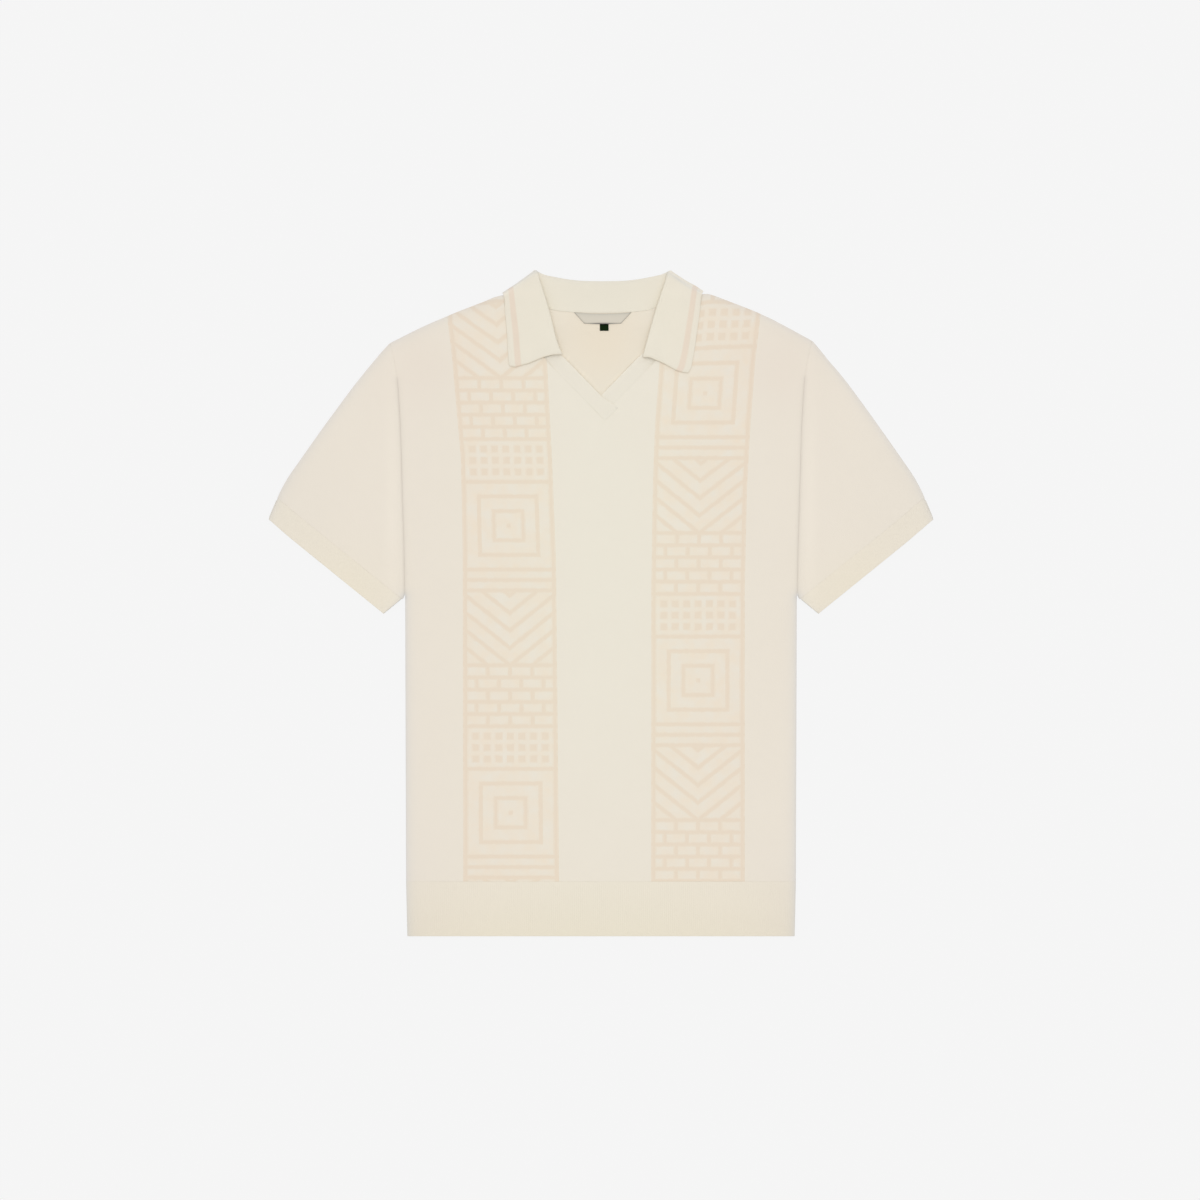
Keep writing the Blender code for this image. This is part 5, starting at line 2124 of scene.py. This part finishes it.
    def shaded_lines(self, points: Array) -> list[Array]:
        """The edges of the leaves along which a painted shadow line darkens the collar.

        Args:
            points: The collar's sections.

        Returns:
            The lower edge and the upper part of the outer edge of each leaf, as lines of (x, y).
        """
        lines = []
        for leaf in (points, points[::-1]):
            lines.append(leaf[0, -self.fall_steps - 1 :, :2])
            lines.append(leaf[self.front_sections - self.shaded_sections : self.front_sections, -1, :2])
        return lines

    def tint(self, places: Array, lines: Sequence[Array]) -> Array:
        """The collar's painted light and shade, with a painted shadow line along some edges.

        Args:
            places: Points of the collar.
            lines: Those lines.

        Returns:
            The tint at each point.
        """
        away = np.min([nearest_on(places[:, :2], line)[0] for line in lines], axis=0)
        shade = np.exp(-away / self.edge_reach)[:, None] * np.array(self.edge_shade)
        return COLLAR_TONE(places) * (1.0 - shade)

    def piece(self) -> bpy.types.Object:
        """Makes the collar: the right half, then the left half back from the middle to its leaf.

        Returns:
            The piece.
        """
        right, left = (self.half(leaf) for leaf in LEAVES)
        points = np.stack(right + left[-2::-1])
        flat = np.zeros((*points.shape[:2], 2))
        steps = np.linalg.norm(np.diff(points, axis=1), axis=-1)
        flat[:, :-1, 1] = np.cumsum(steps[:, ::-1], axis=1)[:, ::-1]
        middle = points[:, self.stand_steps + self.roll_steps // 2]
        flat[1:, :, 0] = np.cumsum(np.linalg.norm(np.diff(middle, axis=0), axis=-1))[:, None]
        data = lattice(points[..., :2], points[..., 2], flat, self.lie.cut.collar_wall)
        tint = partial(self.tint, lines=self.shaded_lines(points))
        return Sheet.of(self.pressed(data)).facing(UP).piece("collar_cloth", tint)

    def dressed(self) -> list[Dressed]:
        """The dressed collar."""
        under = ("front_panel", "neck_trim_right", "neck_trim_left")
        return [Dressed(self.piece(), COLLAR_KNIT, "collar", "collar_knit", Hold.FOLDED, under)]


@dataclass
class Labels:
    """The bare neck label, one flat layer cut to the shape of a label folded back at its slanted ends, and the bare
    tab that hangs from it.
    """

    lie: Lie
    middle_x: float = 0.0019
    top_y: float = 0.3329
    deep: float = 0.0119
    top_width: float = 0.0660
    bottom_width: float = 0.0423
    bow: float = 0.0016
    tab_x: float = 0.0037
    tab_width: float = 0.0100
    tab_deep: float = 0.0077
    wall: float = 0.0007
    rows: int = 10
    columns: int = 40

    def plate(
        self, name: str, x: float, top: float, deep: float, widths: Place, bow: float
    ) -> bpy.types.Object:
        """A woven piece that lies on the inner face of the back.

        Args:
            name: The piece's name.
            x: The middle of its width.
            top: The y of the middle of its upper edge.
            deep: How far it reaches down.
            widths: Its width at the top and at the bottom.
            bow: How far the ends of its upper edge are above the middle, as in the neck seam.

        Returns:
            The piece.
        """
        cut = self.lie.cut
        t = evenly(self.rows)[:, None]
        half = (widths[0] + t * (widths[1] - widths[0])) / 2
        out = half * np.linspace(-1.0, 1.0, self.columns + 1)
        y = top - t * deep + bow * (2 * out / widths[0]) ** 2
        places = np.stack([x + out, y], axis=-1)
        under = self.lie.plain_back(places[..., 0], places[..., 1]) + cut.wall / 2
        height = under + cut.seam_gap + self.wall / 2
        data = free_all_round(lattice(places, height, places, self.wall))
        return Sheet.of(data).facing(UP).piece(name, LABEL_TONE)

    def dressed(self) -> list[Dressed]:
        """Dresses the labels.

        Returns:
            The neck label, and the size tab that hangs below it.
        """
        widths = (self.top_width, self.bottom_width)
        label = self.plate("neck_label_cloth", self.middle_x, self.top_y, self.deep, widths, self.bow)
        top = self.top_y - self.deep - self.lie.cut.seam_gap
        tab = self.plate("size_tab_cloth", self.tab_x, top, self.tab_deep, (self.tab_width,) * 2, 0.0)
        under = ("back_panel",)
        return [
            Dressed(label, LABEL_WEAVE, "neck_label", "label_weave", Hold.LAID, under, (tab,)),
            Dressed(tab, TAB_WEAVE, "size_tab", "tab_weave", None),
        ]


# The studio


@dataclass
class Studio:
    """A plain pale floor, soft light from all round and above, and a camera straight above."""

    frame_width: float = 1.38
    centre: Place = (-0.00115, 0.0040)
    camera_height: float = 4.2
    sensor_mm: float = 36.0
    floor_half: float = 8.0
    floor_drop: float = 0.0002
    floor_colour: str = "#4A4A4A"
    floor_glow: float = 0.845
    sky: float = 0.75
    sun: float = 0.88
    sun_spread: float = math.radians(50)
    sun_tilt: float = math.radians(12)

    def floor(self) -> None:
        """A wide light table, a hair below the cloth: opal acrylic lit from below, so shadows fade."""
        graph = Graph("studio_light_table")
        surface = graph.add(
            "BsdfPrincipled",
            {
                "Base Color": linear(self.floor_colour),
                "Roughness": 1.0,
                "Specular IOR Level": 0.0,
                "Emission Color": linear("#FFFFFF"),
                "Emission Strength": self.floor_glow,
            },
        )
        half = self.floor_half
        mesh = bpy.data.meshes.new("floor")
        corners = [(-half, -half, 0.0), (half, -half, 0.0), (half, half, 0.0), (-half, half, 0.0)]
        mesh.from_pydata(corners, [], [(0, 1, 2, 3)])
        mesh.materials.append(graph.finish(surface))
        floor = bpy.data.objects.new("floor", mesh)
        floor.location.z = -self.floor_drop
        bpy.context.scene.collection.objects.link(floor)
        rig.stage(floor)

    def light(self) -> None:
        """An even white sky, and a wide soft sun from above the neck."""
        scene = bpy.context.scene
        scene.world = scene.world or bpy.data.worlds.new("sky")
        scene.world.use_nodes = True
        sky = scene.world.node_tree.nodes["Background"]
        sky.inputs["Color"].default_value = linear("#FFFFFF")
        sky.inputs["Strength"].default_value = self.sky
        sun = bpy.data.lights.new("sun", "SUN")
        sun.energy = self.sun
        sun.angle = self.sun_spread
        lamp = bpy.data.objects.new("sun", sun)
        lamp.rotation_euler = (-self.sun_tilt, 0.0, 0.0)
        scene.collection.objects.link(lamp)
        scene.view_settings.view_transform = "Standard"

    def camera(self) -> None:
        """A long lens that looks straight down."""
        lens = bpy.data.cameras.new("camera")
        lens.sensor_width = self.sensor_mm
        lens.lens = self.sensor_mm * self.camera_height / self.frame_width
        lens.dof.use_dof = False
        eye = bpy.data.objects.new("camera", lens)
        eye.location = (*self.centre, self.camera_height)
        bpy.context.scene.collection.objects.link(eye)
        bpy.context.scene.camera = eye


# Putting it together


def place(dressed: Dressed, materials: dict[str, bpy.types.Material]) -> None:
    """Puts a piece in its solid's place, in its material.

    Args:
        dressed: The piece.
        materials: The materials made so far, by name.
    """
    piece, name = dressed.piece, dressed.finish.name
    if name not in materials:
        materials[name] = dressed.finish.material()
    piece.data.materials.append(materials[name])
    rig.ride(piece, "root")
    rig.replaces(piece, dressed.node)
    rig.slot(piece, dressed.slot)


def declare(dressed: Dressed) -> None:
    """Declares a piece as a sheet of cloth, with its flat size and area read off its map.

    Args:
        dressed: The piece.
    """
    piece = dressed.piece
    corners = np.empty(2 * len(piece.data.loops), np.float32)
    piece.data.uv_layers["cloth"].data.foreach_get("uv", corners)
    corners = corners.astype(float).reshape(-1, 4, 2)
    width, length = np.ptp(corners.reshape(-1, 2), axis=0)
    diagonals = corners[:, 2:] - corners[:, :2]
    area = float(np.abs(np.linalg.det(diagonals)).sum() / 4)
    LOG.info("%s flat: %.3f x %.3f m, %.4f m2", piece.name, width, length, area)
    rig.sheet(
        piece,
        flat=(float(width), float(length)),
        held=dressed.hold.value,
        rests_on=dressed.rests_on,
        area=min(area, float(width * length)),
        with_pieces=dressed.with_pieces,
    )


def write_sizes(solid_box: tuple[Vector, Vector]) -> None:
    """Writes the solids' box and the dressed part's box.

    Args:
        solid_box: The solids' box, as its lowest and highest corner.
    """
    boxes = {
        "cad": [list(corner) for corner in solid_box],
        "visual": [list(corner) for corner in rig.bounds()],
    }
    with open(SIZES_FILE, "w", encoding="utf-8") as file:
        json.dump(boxes, file, indent=1)


def main() -> None:
    """Builds and dresses the shirt, then the studio round it."""
    logging.basicConfig(level=logging.INFO, format="%(message)s")
    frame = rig.load()
    solid_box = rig.bounds()
    LOG.info("solids: %s", ", ".join(sorted(frame["nodes"])))
    lie = Lie(CUT)
    body = Body(lie)
    sleeves = [Sleeve(lie, leaf.name, leaf.sign) for leaf in LEAVES]
    materials: dict[str, bpy.types.Material] = {}
    for assembly in (body, HemBand(lie), Collar(lie), NeckTrims(lie, body), Labels(lie), *sleeves):
        pieces = assembly.dressed()
        for dressed in pieces:
            place(dressed, materials)
            faces = len(dressed.piece.data.polygons)
            LOG.info("%s stands for %s: %d faces", dressed.piece.name, dressed.node, faces)
        for dressed in pieces:
            if dressed.hold:
                declare(dressed)
    studio = Studio()
    studio.floor()
    studio.light()
    studio.camera()
    write_sizes(solid_box)


if __name__ == "__main__":
    main()
